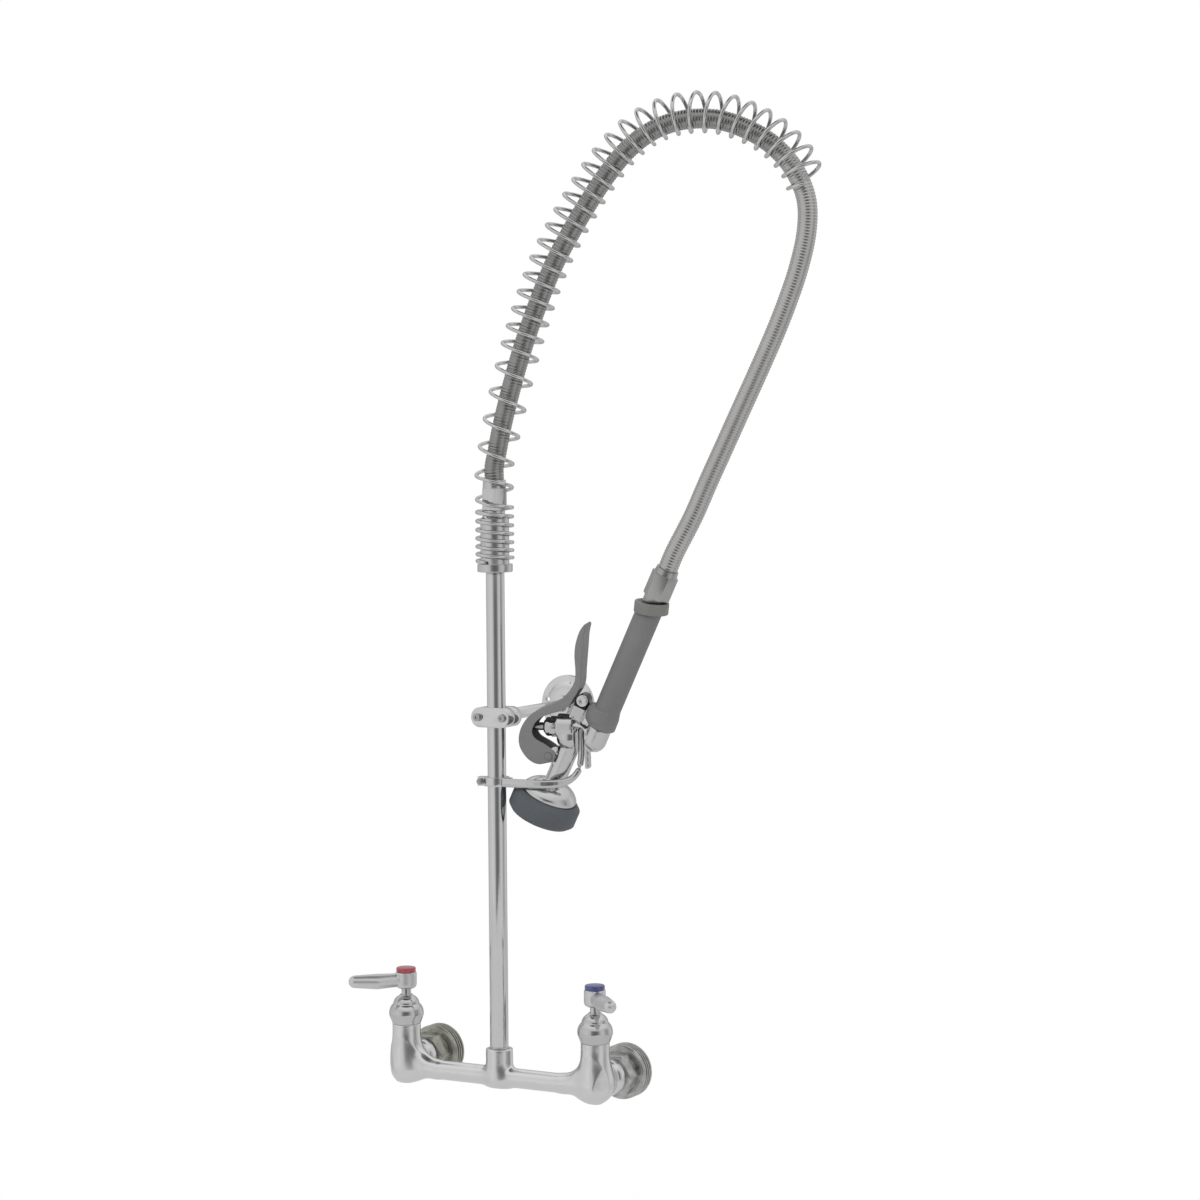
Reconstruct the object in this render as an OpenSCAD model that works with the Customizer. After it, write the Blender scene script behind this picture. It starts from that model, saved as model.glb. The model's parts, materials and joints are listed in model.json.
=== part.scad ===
// Wall-mounted pre-rinse faucet: a two-valve mixing body, a riser with a spring-guided
// hose, and a squeeze-lever spray handset that hangs on a finger hook.
// Origin: midway between the two water inlets, on the wall face of their flanges.
// +X towards the cold side, -Y towards the user, +Z up. Millimetres.

/* [Water inlets] */
// Distance between the two water inlets
inlet_spacing = 203.2; // [195:0.2:220]
// Distance from the wall to the centre line of the body
body_depth = 62; // [60:0.5:75]
// Bore of the threaded wall connection, at its thread crests
inlet_bore_d = 19; // [16:0.1:20]
// Depth of the threaded wall connection
inlet_bore_depth = 14; // [10:0.5:15]
// Diameter of the wall flange
flange_d = 50.8; // [46:0.2:60]
// Thickness of the wall flange
flange_t = 16; // [15.5:0.1:17]
// Size across the flats of the coupling nut
coupling_af = 37; // [35:0.5:42]
// Length of the coupling nut
coupling_len = 17.5; // [17:0.1:18.5]
// Diameter of the chrome boss behind the coupling nut
boss_d = 34; // [30:0.5:36]
// Length of that boss
boss_len = 9.5; // [7:0.5:10]

/* [Valve body] */
// Diameter of the valve posts at the top
post_d = 27; // [26:0.5:30]
// Height of the valve posts above the inlets
post_top = 36.5; // [34:0.5:42]
// How far the foot of a valve post reaches below the inlets
post_drop = 20; // [19:0.5:24]
// Diameter of the cross bar
bar_d = 18; // [16:0.5:20]
// How far the cross bar lies below the inlets
bar_drop = 4.7; // [3:0.1:6]
// Radius where the cross bar sweeps up into a post
bar_sweep = 22; // [14:1:24]
// Radius where the arm towards the wall sweeps up into a post
arm_sweep = 13; // [9:0.5:14]
// Diameter of the collar that carries the riser
tee_d = 25; // [23:0.5:28]
// Height of that collar above the inlets
tee_top = 22; // [19:0.5:26]
// Diameter of the water ways in the body
water_d = 10; // [7:0.5:10]

/* [Bonnets and handles] */
// Largest diameter of a bonnet
bonnet_d = 32.6; // [31.5:0.1:36]
// Height of a bonnet
bonnet_h = 29; // [26:0.5:30]
// Diameter of a spindle
spindle_d = 9; // [7.5:0.1:9.4]
// Diameter of a handle hub
hub_d = 20; // [19:0.5:24]
// Height of a handle hub
hub_h = 16; // [15:0.5:20]
// Height of the gap between bonnet and hub
hub_gap = 3.5; // [3:0.5:9]
// Diameter of the coloured index button
index_d = 18.4; // [16:0.1:18.8]
// Height of the index button above the hub
index_h = 4.4; // [2:0.1:6]
// Length of a handle from its axis to its tip
handle_len = 55; // [48:1:75]
// Width of a handle
handle_w = 17; // [13:0.5:20]
// Thickness of a handle
handle_t = 14.5; // [10:0.5:15]
// Turn of a handle away from straight ahead, when closed
handle_rest = 45; // [30:1:60]

/* [Riser and wall bracket] */
// Outside diameter of the riser
riser_d = 17.145; // [16:0.005:18]
// Bore of the riser
riser_bore = 12.5; // [10:0.1:13.5]
// Length of the riser
riser_len = 457.2; // [440:0.2:640]
// Height of the wall bracket above the inlets
bracket_z = 330; // [324:1:336]
// Distance from the riser's axis to the back of the bracket flange
bracket_reach = 135; // [120:1:160]
// Diameter of the bracket flange
bracket_flange_d = 57; // [50:0.5:70]
// Diameter of the bracket rod
bracket_rod_d = 11; // [9:0.5:12]
// Height of the bracket clamp
clamp_h = 18.5; // [16:0.5:22]
// Thickness of each half of the bracket clamp
clamp_t = 9; // [6:0.5:9.5]

/* [Finger hook] */
// Height of the finger hook's clamp above the inlets
hook_z = 270.3; // [270:0.1:270.6]
// Height of the hook's flat arm
hook_arm_h = 8.4; // [7:0.1:8.6]
// Diameter of the hook's finger
hook_d = 6; // [5:0.1:6.2]

/* [Spring and hose] */
// Outside diameter of the spring along the arch
spring_od = 38.5; // [37:0.5:40]
// Outside diameter of the spring's close turns
spring_seat_od = 36; // [35.8:0.1:37]
// Diameter of the spring wire
spring_wire = 3.5; // [3:0.1:4]
// Diameter of the spring's seat collar
collar_d = 32.5; // [32:0.5:40]
// Height of that collar
collar_h = 7.4; // [5:0.2:9]
// Outside diameter of the hose
hose_d = 18; // [15:0.2:18.4]
// Bore of the hose
hose_bore = 9; // [7:0.5:10]
// Turn of the hose's arch away from the cold side, towards the wall
arch_turn = 15; // [13:1:17]
// Size across the flats of the hose nut
hose_nut_af = 22.2; // [21:0.1:24]

/* [Spray handset] */
// Lean of the handset from upright, along the arch
head_tilt = 25; // [24.5:0.1:25.5]
// Lean of the handset towards the user
head_lean = 7; // [6.5:0.1:7.5]
// Diameter of the rubber bumper ring
bumper_d = 64.6; // [62:0.2:66]
// Height of the bumper ring
bumper_h = 22.6; // [20:0.2:26]
// Diameter of the handset's neck
neck_d = 19; // [17:0.5:20]
// Diameter of the grip
grip_d = 24; // [23:0.5:25]
// Distance of the grip's top from the bumper ring
grip_top = 207; // [204:0.5:207.5]
// Outside diameter of the hold-open ring
ring_d = 31.5; // [31:0.5:34]
// Height of the hold-open ring
ring_h = 10.5; // [7:0.5:11]
// Size across the flats of the hose ferrule
ferrule_af = 22; // [21:0.5:24]
// Length of the hose ferrule
ferrule_len = 36; // [30:1:40]
// Width of the squeeze lever
lever_w = 19; // [17:0.5:22]
// Thickness of the squeeze lever's metal
lever_t = 1.8; // [1.2:0.1:2.2]
// Diameter of the lever's pin
lever_pin_d = 4; // [3:0.1:5]
// Diameter of the valve chamber
chamber_d = 25; // [22:0.5:26]
// Diameter of the handset valve's bonnet
head_bonnet_d = 17.5; // [15:0.5:20]
// Diameter of the handset valve's stem
stem_d = 7.4; // [6:0.1:8]

/* [Hidden] */
$fn = 64;

hot = -1;
cold = 1;
eps = 0.01;
running = 0.05;     // radial clearance of a turning or sliding fit
slip = 0.3;         // gap between faces that pass or seat without touching

chrome = [0.80, 0.81, 0.83];
satin = [0.62, 0.62, 0.60];
nickel = [0.48, 0.48, 0.43];
brass = [0.78, 0.66, 0.38];
rubber = [0.12, 0.12, 0.13];
dark_rubber = [0.29, 0.31, 0.33];
grey = [0.42, 0.42, 0.42];
dark_grey = [0.36, 0.36, 0.36];
red = [0.72, 0.20, 0.22];
blue = [0.18, 0.20, 0.62];

// ---- Outline helpers -----------------------------------------------------------

// Points along a circle of radius r about c, from angle a0 to a1, in n steps
function arc(c, r, a0, a1, n = 6) =
    [for (i = [0 : n]) let (a = a0 + (a1 - a0) * i / n) c + r * [cos(a), sin(a)]];
function lerp(a, b, t) = a + (b - a) * t;
function smooth(t) = let (x = min(1, max(0, t))) x * x * (3 - 2 * x);
function unit(v) = v / norm(v);

module turned(outline) {
    rotate_extrude() polygon(outline);
}

module hexagon(af, h) {
    cylinder(d = af / cos(30), h = h, $fn = 6);
}

module bore(d, z0, z1) {
    translate([0, 0, z0]) cylinder(d = d, h = z1 - z0);
}

// ---- Places --------------------------------------------------------------------

post_x = inlet_spacing / 2;
module from_wall(side) translate([side * post_x, 0, 0]) rotate([90, 0, 0]) children();
module at_post(side) translate([side * post_x, -body_depth, 0]) children();
module at_riser() translate([0, -body_depth, 0]) children();
module in_arch() at_riser() rotate([0, 0, arch_turn]) children();

// ---- Water inlets --------------------------------------------------------------

// Distances from the wall, along the inlet's axis
spigot_d = 26;
spigot_len = 10;
spigot_end = flange_t + spigot_len;
washer_t = 2;
tail_start = spigot_end + washer_t;
tail_shoulder_t = 2.2;
nut_start = flange_t + slip;
nut_end = nut_start + coupling_len;
boss_start = nut_end + slip;
boss_end = boss_start + boss_len;
tail_neck_d = 21;
water_in_d = 12;
groove_w = 1.6;
groove_deep = 1.2;

module inlet_flange(side) color(nickel) from_wall(side) difference() {
    union() {
        turned(concat(
            [[0, 0], [flange_d / 2, 0]],
            arc([flange_d / 2 - 3, flange_t - 3], 3, 0, 90),
            [[0, flange_t]]));
        cylinder(d = spigot_d, h = spigot_end);
    }
    for (i = [0 : 2]) translate([0, 0, 2.6 + i * 3.4]) difference() {
        cylinder(d = flange_d + 2, h = groove_w);
        bore(flange_d - 2 * groove_deep, -eps, groove_w + eps);
    }
    bore(inlet_bore_d, -eps, inlet_bore_depth);
    bore(water_in_d, -eps, spigot_end + eps);
}

module inlet_washer(side) color(rubber) from_wall(side) difference() {
    bore(spigot_d - 2, spigot_end, tail_start);
    bore(water_in_d + 1, spigot_end - eps, tail_start + eps);
}

module coupling_nut(side) color(nickel) from_wall(side) difference() {
    union() {
        translate([0, 0, nut_start]) cylinder(d = coupling_af + 1.4, h = 3.2);
        intersection() {
            translate([0, 0, nut_start]) hexagon(coupling_af, coupling_len);
            turned([[0, nut_start], [coupling_af * 0.58, nut_start],
                    [coupling_af * 0.58, nut_end - 2.4], [coupling_af * 0.5, nut_end],
                    [0, nut_end]]);
        }
    }
    bore(spigot_d + 2 * running, nut_start - eps, tail_start + tail_shoulder_t + running);
    bore(tail_neck_d + 2 * slip, nut_start - eps, nut_end + eps);
}

// ---- Mixing body ---------------------------------------------------------------

foot_r = 20;
post_foot_r = post_d / 2 + 1;
cartridge_d = 19;
seat_d = 12;
seat_z0 = 2;
seat_z1 = 8;
seat_bore = 7;
chamber_low_d = 11;
chamber_low_z = -8;
side_way_d = 5;
side_way_x = seat_d / 2 + 1 + side_way_d / 2;
riser_z0 = tee_top - 8;

module faucet_body() color(chrome) difference() {
    union() {
        for (side = [hot, cold]) {
            at_post(side) turned(concat(
                arc([0, foot_r - post_drop], foot_r, -90,
                    asin(post_foot_r / foot_r) - 90, 5),
                [[post_d / 2, post_top], [0, post_top]]));
            at_post(side) rotate([0, 0, side > 0 ? 180 : 0])
                sweep_into(bar_d - 0.8, bar_drop, bar_sweep);
            at_post(side) rotate([0, 0, 90]) sweep_into(post_d - 4, 0, arm_sweep);
            inlet_arm(side);
        }
        at_riser() translate([-post_x, 0, -bar_drop]) rotate([0, 90, 0])
            cylinder(d = bar_d, h = inlet_spacing);
        at_riser() turned(concat(
            [[0, -bar_drop - bar_d / 2 - slip]],
            arc([tee_d / 2 - bar_d / 2 - slip, -bar_drop], bar_d / 2 + slip, -90, 0),
            [[tee_d / 2, tee_top - 1], [tee_d / 2 - 1, tee_top], [0, tee_top]]));
    }
    for (side = [hot, cold]) {
        at_post(side) {
            bore(chamber_low_d, chamber_low_z, seat_z1);
            bore(seat_d, seat_z0, seat_z1 + eps);
            bore(cartridge_d + 2 * running, seat_z1, post_top + eps);
            translate([-side * side_way_x, 0, 0]) bore(side_way_d, -bar_drop, seat_z1 + eps);
        }
        from_wall(side) bore(water_in_d - 2, tail_start - eps, body_depth);
    }
    at_riser() {
        translate([side_way_x - post_x, 0, -bar_drop]) rotate([0, 90, 0])
            cylinder(d = water_d, h = inlet_spacing - 2 * side_way_x);
        bore(water_d, -bar_drop, riser_z0 + eps);
        bore(riser_d, riser_z0, tee_top + eps);
    }
}

// The body's bend from a post down into one of its arms, wide at the post. Local +X is the
// arm's way; arm_d is the arm's size, drop how far it lies below the inlets, r the inner radius
sweep_steps = 6;
sweep_sides = 20;
function sweep_ring(arm_d, drop, r, f) =
    let (e = [-cos(90 * f), 0, -sin(90 * f)], deep = lerp(0.8 * post_d, arm_d, smooth(f)),
         wide = lerp(post_d - 1, arm_d, smooth(f)))
    [for (j = [0 : sweep_sides - 1]) let (a = 360 * (j + 0.5) / sweep_sides)
        [post_d / 2 - 0.4 + r, 0, r + arm_d / 2 - drop]
        + (r + deep / 2 * (1 + cos(a))) * e + wide / 2 * sin(a) * [0, 1, 0]];
module sweep_into(arm_d, drop, r) {
    polyhedron([for (k = [0 : sweep_steps]) each sweep_ring(arm_d, drop, r, k / sweep_steps)],
        concat(tube_wall(sweep_steps + 1, sweep_sides), cap(0, sweep_sides, false),
               cap(sweep_steps * sweep_sides, sweep_sides, true)));
}

module inlet_arm(side) from_wall(side) {
    edge = 1.5;
    bore(post_d - 3, boss_end - 2, body_depth);
    turned(concat(
        [[0, boss_start]],
        arc([boss_d / 2 - edge, boss_start + edge], edge, -90, 0, 3),
        arc([boss_d / 2 - edge, boss_end - edge], edge, 0, 60, 3),
        [[post_d / 2 - 1.5, boss_end + 2.5], [0, boss_end + 2.5]]));
    bore(spigot_d - 1, tail_start, tail_start + tail_shoulder_t);
    bore(tail_neck_d, tail_start, boss_start + eps);
}

// ---- Valve insides -------------------------------------------------------------

plug_d = 11.6;
plug_lift = 2.5;
handle_turn = 90;
seat_lip = 1.5;
plug_z = seat_z1 + seat_lip;
plug_t = 4;
plug_stem_d = 5;
plug_stem_top = 36;
cartridge_z0 = 12.2;
cartridge_neck_z = 34;
cartridge_top = post_top + 13;
spindle_foot_d = 12;
spindle_z0 = 30;
bonnet_z1 = post_top + bonnet_h;
hub_z0 = bonnet_z1 + hub_gap;
hub_z1 = hub_z0 + hub_h;
broach_d = spindle_d - 0.8;
web_z = hub_z0 + 8;
web_t = 3;
spindle_top = web_z - slip;
cap_recess_d = 15;
screw_d = 4;

module seat(side) color(brass) at_post(side) difference() {
    turned([[0, seat_z0], [seat_d / 2, seat_z0], [seat_d / 2, seat_z1],
            [seat_bore / 2 + 1, plug_z], [0, plug_z]]);
    bore(seat_bore, seat_z0 - eps, plug_z + eps);
}

module plug(side) color(rubber) at_post(side) {
    bore(plug_d, plug_z, plug_z + plug_t);
    bore(plug_stem_d, plug_z, plug_stem_top);
}

module cartridge(side) color(brass) at_post(side) difference() {
    union() {
        bore(cartridge_d, cartridge_z0, post_top);
        bore(cartridge_d + 3, post_top, cartridge_top);
    }
    bore(spindle_foot_d + 2 * running, cartridge_z0 - eps, cartridge_neck_z);
    bore(spindle_d + 2 * running, cartridge_z0, cartridge_top + eps);
    for (a = [0 : 90 : 270]) rotate([0, 0, a + 45])
        translate([0, 0, cartridge_z0 + 4]) rotate([0, 90, 0]) cylinder(d = 4, h = cartridge_d);
}

module spindle(side) color(chrome) at_post(side) difference() {
    union() {
        bore(spindle_foot_d, spindle_z0, cartridge_neck_z - slip);
        bore(spindle_d, spindle_z0, hub_z0);
        bore(broach_d, hub_z0 - eps, spindle_top);
    }
    bore(plug_stem_d + 2 * running, spindle_z0 - eps, plug_stem_top + plug_lift + 3);
    bore(screw_d, hub_z0 - 4, spindle_top + eps);
}

module bonnet(side) color(chrome) at_post(side) {
    barrel_r = 18;
    barrel_z = post_top + 7.5;
    dome_r = 10;
    dome_c = [bonnet_d / 2 - 13.8, post_top + 17];
    difference() {
        turned(concat(
            [[0, post_top]],
            arc([bonnet_d / 2 - barrel_r, barrel_z], barrel_r, -24.5, 30, 8),
            arc(dome_c, dome_r, 0, 66, 7),
            [[spindle_d / 2 + 1.6, bonnet_z1 - 1], [spindle_d / 2 + 1.6, bonnet_z1],
             [0, bonnet_z1]]));
        bore(cartridge_d + 3 + 2 * running, post_top - eps, cartridge_top);
        bore(spindle_d + 2 * slip, post_top, bonnet_z1 + eps);
    }
}

// A handle turns with its hub about the post's axis
module turn_handle(side) at_post(side) rotate([0, 0, side * handle_rest - 90]) children();

module egg(x, w, t, z) translate([x, 0, z]) scale([w, w, t]) sphere(d = 1, $fn = 26);

module handle(side) color(chrome) turn_handle(side) {
    mid_z = hub_z0 + 8.5;
    tip_w = handle_w * 0.7;
    difference() {
        union() {
            turned(concat(
                [[0, hub_z0], [broach_d / 2 + 1.6, hub_z0]],
                arc([hub_d / 2 - 4, hub_z0 + 4.4], 4, -60, 0, 4),
                arc([hub_d / 2 - 1, hub_z1 - 1], 1, 0, 90, 3),
                [[0, hub_z1]]));
            hull() {
                egg(hub_d * 0.3, hub_d * 0.6, handle_t * 0.86, mid_z);
                egg(handle_len * 0.5, handle_w, handle_t, mid_z - 0.4);
            }
            hull() {
                egg(handle_len * 0.5, handle_w, handle_t, mid_z - 0.4);
                egg(handle_len - tip_w / 2, tip_w, handle_t * 0.82, mid_z + 0.6);
            }
        }
        bore(broach_d + 2 * running, hub_z0 - eps, web_z);
        bore(screw_d + 0.4, web_z - eps, web_z + web_t + eps);
        bore(cap_recess_d, web_z + web_t, hub_z1 + 20);
    }
}

module handle_screw(side) color(satin) at_post(side) difference() {
    union() {
        bore(screw_d, hub_z0 - 3, web_z + web_t);
        bore(screw_d * 1.9, web_z + web_t, web_z + web_t + 2);
    }
    translate([-4, -0.5, web_z + web_t + 1.2]) cube([8, 1, 2]);
}

module index(side) color(side == hot ? red : blue) at_post(side) {
    bore(cap_recess_d - 2 * running, hub_z1 - 2.6, hub_z1 + eps);
    translate([0, 0, hub_z1]) turned(concat(
        [[0, 0], [index_d / 2, 0]],
        arc([index_d / 2 - 1.2, index_h - 1.2], 1.2, 0, 90, 4),
        [[0, index_h]]));
}

// ---- Riser, spring seat and hose nut ---------------------------------------------

riser_z1 = riser_z0 + riser_len;
seat_socket = 7.8;
collar_z0 = riser_z1 - seat_socket;
collar_z1 = collar_z0 + collar_h;
spring_id = spring_seat_od - 2 * spring_wire;
guide_gap = 1.3;     // keeps the guide clear of the spring's eight-sided turns
guide_d = spring_id - 2 * guide_gap;
guide_len = 44.5;
guide_z1 = collar_z1 + guide_len;
nipple_d = 17.4;
nipple_len = 11;
nipple_z0 = guide_z1 + 4.7;
nipple_z1 = nipple_z0 + nipple_len;
hose_washer_t = 2;
hose_nut_len = 28;
hose_nut_z1 = nipple_z0 + hose_nut_len;

module riser() color(chrome) at_riser() difference() {
    bore(riser_d, riser_z0, riser_z1);
    bore(riser_bore, riser_z0 - eps, riser_z1 + eps);
}

module spring_body() color(chrome) at_riser() difference() {
    turned([[0, collar_z0], [collar_d / 2 - 0.8, collar_z0], [collar_d / 2, collar_z0 + 0.8],
            [collar_d / 2, collar_z1], [guide_d / 2, collar_z1], [guide_d / 2, guide_z1 - 3],
            [guide_d / 2 - 3, guide_z1], [nipple_d / 2 + 0.9, guide_z1],
            [nipple_d / 2 + 0.9, nipple_z0], [nipple_d / 2, nipple_z0],
            [nipple_d / 2, nipple_z1], [0, nipple_z1]]);
    bore(riser_d, collar_z0 - eps, riser_z1);
    bore(water_d, riser_z1 - eps, nipple_z1 + eps);
}

module hose_washer() color(rubber) at_riser() difference() {
    bore(nipple_d - 0.2, nipple_z1, nipple_z1 + hose_washer_t);
    bore(hose_bore + 1, nipple_z1 - eps, nipple_z1 + hose_washer_t + eps);
}

module hose_nut() color(chrome) at_riser() difference() {
    union() {
        bore(hose_nut_af + 0.4, nipple_z0, nipple_z0 + 3.4);
        translate([0, 0, nipple_z0]) hexagon(hose_nut_af, 20);
        translate([0, 0, nipple_z0 + 20])
            cylinder(d1 = hose_nut_af - 0.6, d2 = hose_d + 3, h = hose_nut_z1 - nipple_z0 - 20);
    }
    bore(nipple_d + 2 * running, nipple_z0 - eps, nipple_z1 + hose_washer_t);
    bore(hose_bore, nipple_z1, hose_nut_z1 + eps);
}

// ---- Handset frame ---------------------------------------------------------------

// Where the top centre of the bumper ring lies in the arch's frame
head_place = [47.6, 7, 257.5];
module in_head() in_arch() translate(head_place)
    rotate([0, head_tilt, 0]) rotate([head_lean, 0, 0]) children();
// A point of the handset's frame, in the arch's frame
function from_head(p) =
    let (y = p[1] * cos(head_lean) - p[2] * sin(head_lean),
         q = p[1] * sin(head_lean) + p[2] * cos(head_lean))
    head_place + [p[0] * cos(head_tilt) + q * sin(head_tilt), y,
                  q * cos(head_tilt) - p[0] * sin(head_tilt)];

grip_x = 19.2;
ferrule_z0 = grip_top + slip;
ferrule_z1 = ferrule_z0 + ferrule_len;

// ---- Hose and spring ---------------------------------------------------------------

// The hose's route in the arch's frame, from above the hose nut to above the ferrule
ROUTE = [
    [3, 0, 574], [8, 0, 598], [17, 0, 632], [28, 0, 668], [42, 0, 706], [57, 0, 741],
    [73, 0, 770], [89, 0, 795.6], [106, 0, 820.2], [125, 0, 842.6], [146, 0, 858.8],
    [168, 0, 867.8], [190, 0, 870.8], [213, 0, 868.8], [236, 0, 860.6], [257, -1, 848.2],
    [274, -1, 831.6], [286, -2, 812], [292, -3, 791], [291.3, -5, 765], [285, -9, 735],
    [276.1, -13, 707], [265.6, -17, 679], [252, -21, 647], [236.7, -24, 613],
    [221.7, -26, 580], [206, -27, 546], [192, -27, 515]
];
route_start = [0, 0, hose_nut_z1];
route_end = from_head([grip_x + 0.6, 0, ferrule_z1]);
route_pts = concat(
    [route_start, route_start + [0, 0, 12]], ROUTE,
    [from_head([grip_x + 0.6, 0, ferrule_z1 + 18]), route_end]);

// A smooth curve through the route's points
route_steps = 6;
function mirror_end(a, b) = 2 * a - b;
function knot(i) = i < 0 ? mirror_end(route_pts[0], route_pts[1])
    : i >= len(route_pts) ? mirror_end(route_pts[len(route_pts) - 1],
                                       route_pts[len(route_pts) - 2])
    : route_pts[i];
function blend4(a, b, c, d, t) =
    0.5 * (2 * b + (c - a) * t + (2 * a - 5 * b + 4 * c - d) * t * t
           + (3 * b - a - 3 * c + d) * t * t * t);
curve = [for (i = [0 : len(route_pts) - 2], j = [0 : route_steps - 1])
             blend4(knot(i - 1), knot(i), knot(i + 1), knot(i + 2), j / route_steps),
         route_end];
function lengths(i, total, out) = i >= len(curve) ? out
    : let (t = total + norm(curve[i] - curve[i - 1])) lengths(i + 1, t, concat(out, [t]));
curve_s = lengths(1, 0, [0]);
hose_len = curve_s[len(curve_s) - 1];
table = [for (k = [0 : 2]) [for (i = [0 : len(curve) - 1]) [curve_s[i], curve[i][k]]]];
function along(s) = [for (k = [0 : 2]) lookup(s, table[k])];
function heading(s) = unit(along(min(hose_len, s + 5)) - along(max(0, s - 5)));

// Triangles of a tube's wall, whose rings have n points each; a bore's wall faces inwards
function tube_wall(rings, n, first = 0, bore_wall = false) =
    [for (i = [0 : rings - 2], j = [0 : n - 1])
        let (a = first + i * n + j, b = first + i * n + (j + 1) % n, c = a + n, d = b + n)
        each (bore_wall ? [[a, b, c], [b, d, c]] : [[a, c, b], [b, c, d]])];
// Triangles that close a tube at the ring whose first point is given
function cap(first, n, far_end) = [for (j = [1 : n - 2])
    far_end ? [first, first + j + 1, first + j] : [first, first + j, first + j + 1]];

rib_count = 116;
rib_sides = 8;
rib_deep = 0.7;
bore_rings = 46;
function hose_ring(s, r) =
    let (t = s <= 0 ? [0, 0, 1] : s >= hose_len - eps ? unit(route_end - knot(len(route_pts) - 2))
             : heading(s),
         side = unit(cross([0, 1, 0], t)), back = cross(t, side), c = along(s))
    [for (j = [0 : rib_sides - 1]) let (a = 360 * (j + 0.5) / rib_sides)
        c + r * (cos(a) * side + sin(a) * back)];

module hose() color(satin) in_arch() {
    rings = 2 * rib_count + 1;
    // flat-sided rings keep the hose's true width across their corners
    outer = [for (i = [0 : rings - 1]) each hose_ring(
        hose_len * i / (rings - 1), hose_d / 2 - (i % 2 == 0 ? rib_deep : 0))];
    inner = [for (i = [0 : bore_rings - 1]) each hose_ring(
        hose_len * i / (bore_rings - 1), hose_bore / 2)];
    base = rings * rib_sides;
    last = base - rib_sides;
    inner_last = base + (bore_rings - 1) * rib_sides;
    ends = [for (j = [0 : rib_sides - 1]) let (k = (j + 1) % rib_sides) each [
        [j, k, base + j], [k, base + k, base + j],
        [last + j, inner_last + j, last + k], [last + k, inner_last + j, inner_last + k]]];
    polyhedron(concat(outer, inner), concat(
        tube_wall(rings, rib_sides), tube_wall(bore_rings, rib_sides, base, true), ends));
}

// The spring: close turns on its seat, open turns above it, then the arch's turns
close_turns = 7;
open_turns = 6;
arch_turns = 27;
turns = close_turns + open_turns + arch_turns;
close_rise = 56;
close_end_z = collar_z1 + close_rise;
open_end_s = 122;
spring_end_s = 521;
curl_rings = 8;
wire_sides = 6;
hose_play = 0.8;
shear = 9;
wire_start = 252;
crowding = 0.1;      // how much closer the arch's turns stand at its far end
// The coils lean back from square to the hose's heading t on the rising side
function lean_at(t) = let (b = atan2(t[0], t[2])) b > 0 && b < 90 ? -shear * sin(2 * b) : 0;
// How far the coils' centre stands outside the hose's, so that their inner side lies on the hose
function hose_offset(t) = (spring_od - spring_wire) / 2 * cos(lean_at(t))
    - (spring_wire + hose_d) / 2 - hose_play;
// Spring's centre and heading where the turn count is n
function turn_s(n) = n < close_turns ? 0
    : n < close_turns + open_turns ? lerp(0, open_end_s, (n - close_turns) / open_turns)
    : let (f = (n - close_turns - open_turns) / arch_turns)
      lerp(open_end_s, spring_end_s, f + crowding * f * (1 - f));
function low_z(n) = collar_z1 + spring_wire / 2 + slip
    + (close_end_z - collar_z1 - spring_wire) * pow(min(n, close_turns) / close_turns, 1.12);
rise_s = hose_nut_z1 - close_end_z;
function turn_centre(n) =
    let (z = low_z(n), s = n < close_turns ? 0 : turn_s(n) - rise_s * (1 - smooth((n
             - close_turns) / open_turns)))
    n < close_turns ? [0, 0, z]
    : s < 0 ? [0, 0, hose_nut_z1 + s]
    : let (t = heading(s), out = unit([-t[2], 0, t[0]]))
      along(s) + hose_offset(t) * smooth((s - 40) / 240) * out;
function turn_heading(n) = unit(turn_centre(min(turns, n + 0.2)) - turn_centre(max(0, n - 0.2)));
function coil_normal(n) =
    let (t = turn_heading(n), b = atan2(t[0], t[2]) + lean_at(t))
    [sin(b), 0, cos(b)];
function coil_r(n) =
    let (r0 = (spring_seat_od - spring_wire) / 2, r1 = (spring_od - spring_wire) / 2,
         tip = (hose_d + spring_wire) / 2 + 2.2)
    lerp(lerp(r0, r1, smooth((n - close_turns) / 5)), tip, smooth((n - turns + 1) * 1.1));
function wire_at(n) =
    let (m = coil_normal(n), side = [m[2], 0, -m[0]], a = wire_start - 360 * n,
         t = turn_heading(n),
         close_in = hose_offset(t) * smooth((n - turns + 1) * 1.1) * [t[2], 0, -t[0]])
    turn_centre(n) + close_in + coil_r(n) * (cos(a) * side + sin(a) * [0, 1, 0]);
wire_rings = turns * curl_rings + 1;
wire_pts = [for (i = [0 : wire_rings - 1]) wire_at(i / curl_rings)];
function wire_ring(i) =
    let (t = unit(wire_pts[min(wire_rings - 1, i + 1)] - wire_pts[max(0, i - 1)]),
         c = turn_centre(i / curl_rings), out = unit(wire_pts[i] - c),
         u = unit(out - (out * t) * t), v = cross(t, u))
    [for (j = [0 : wire_sides - 1]) let (a = 360 * j / wire_sides)
        wire_pts[i] + spring_wire / 2 * (cos(a) * u + sin(a) * v)];

module spring() color(chrome) in_arch() {
    polyhedron([for (i = [0 : wire_rings - 1]) each wire_ring(i)], concat(
        tube_wall(wire_rings, wire_sides),
        cap(0, wire_sides, false), cap((wire_rings - 1) * wire_sides, wire_sides, true)));
}

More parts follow.
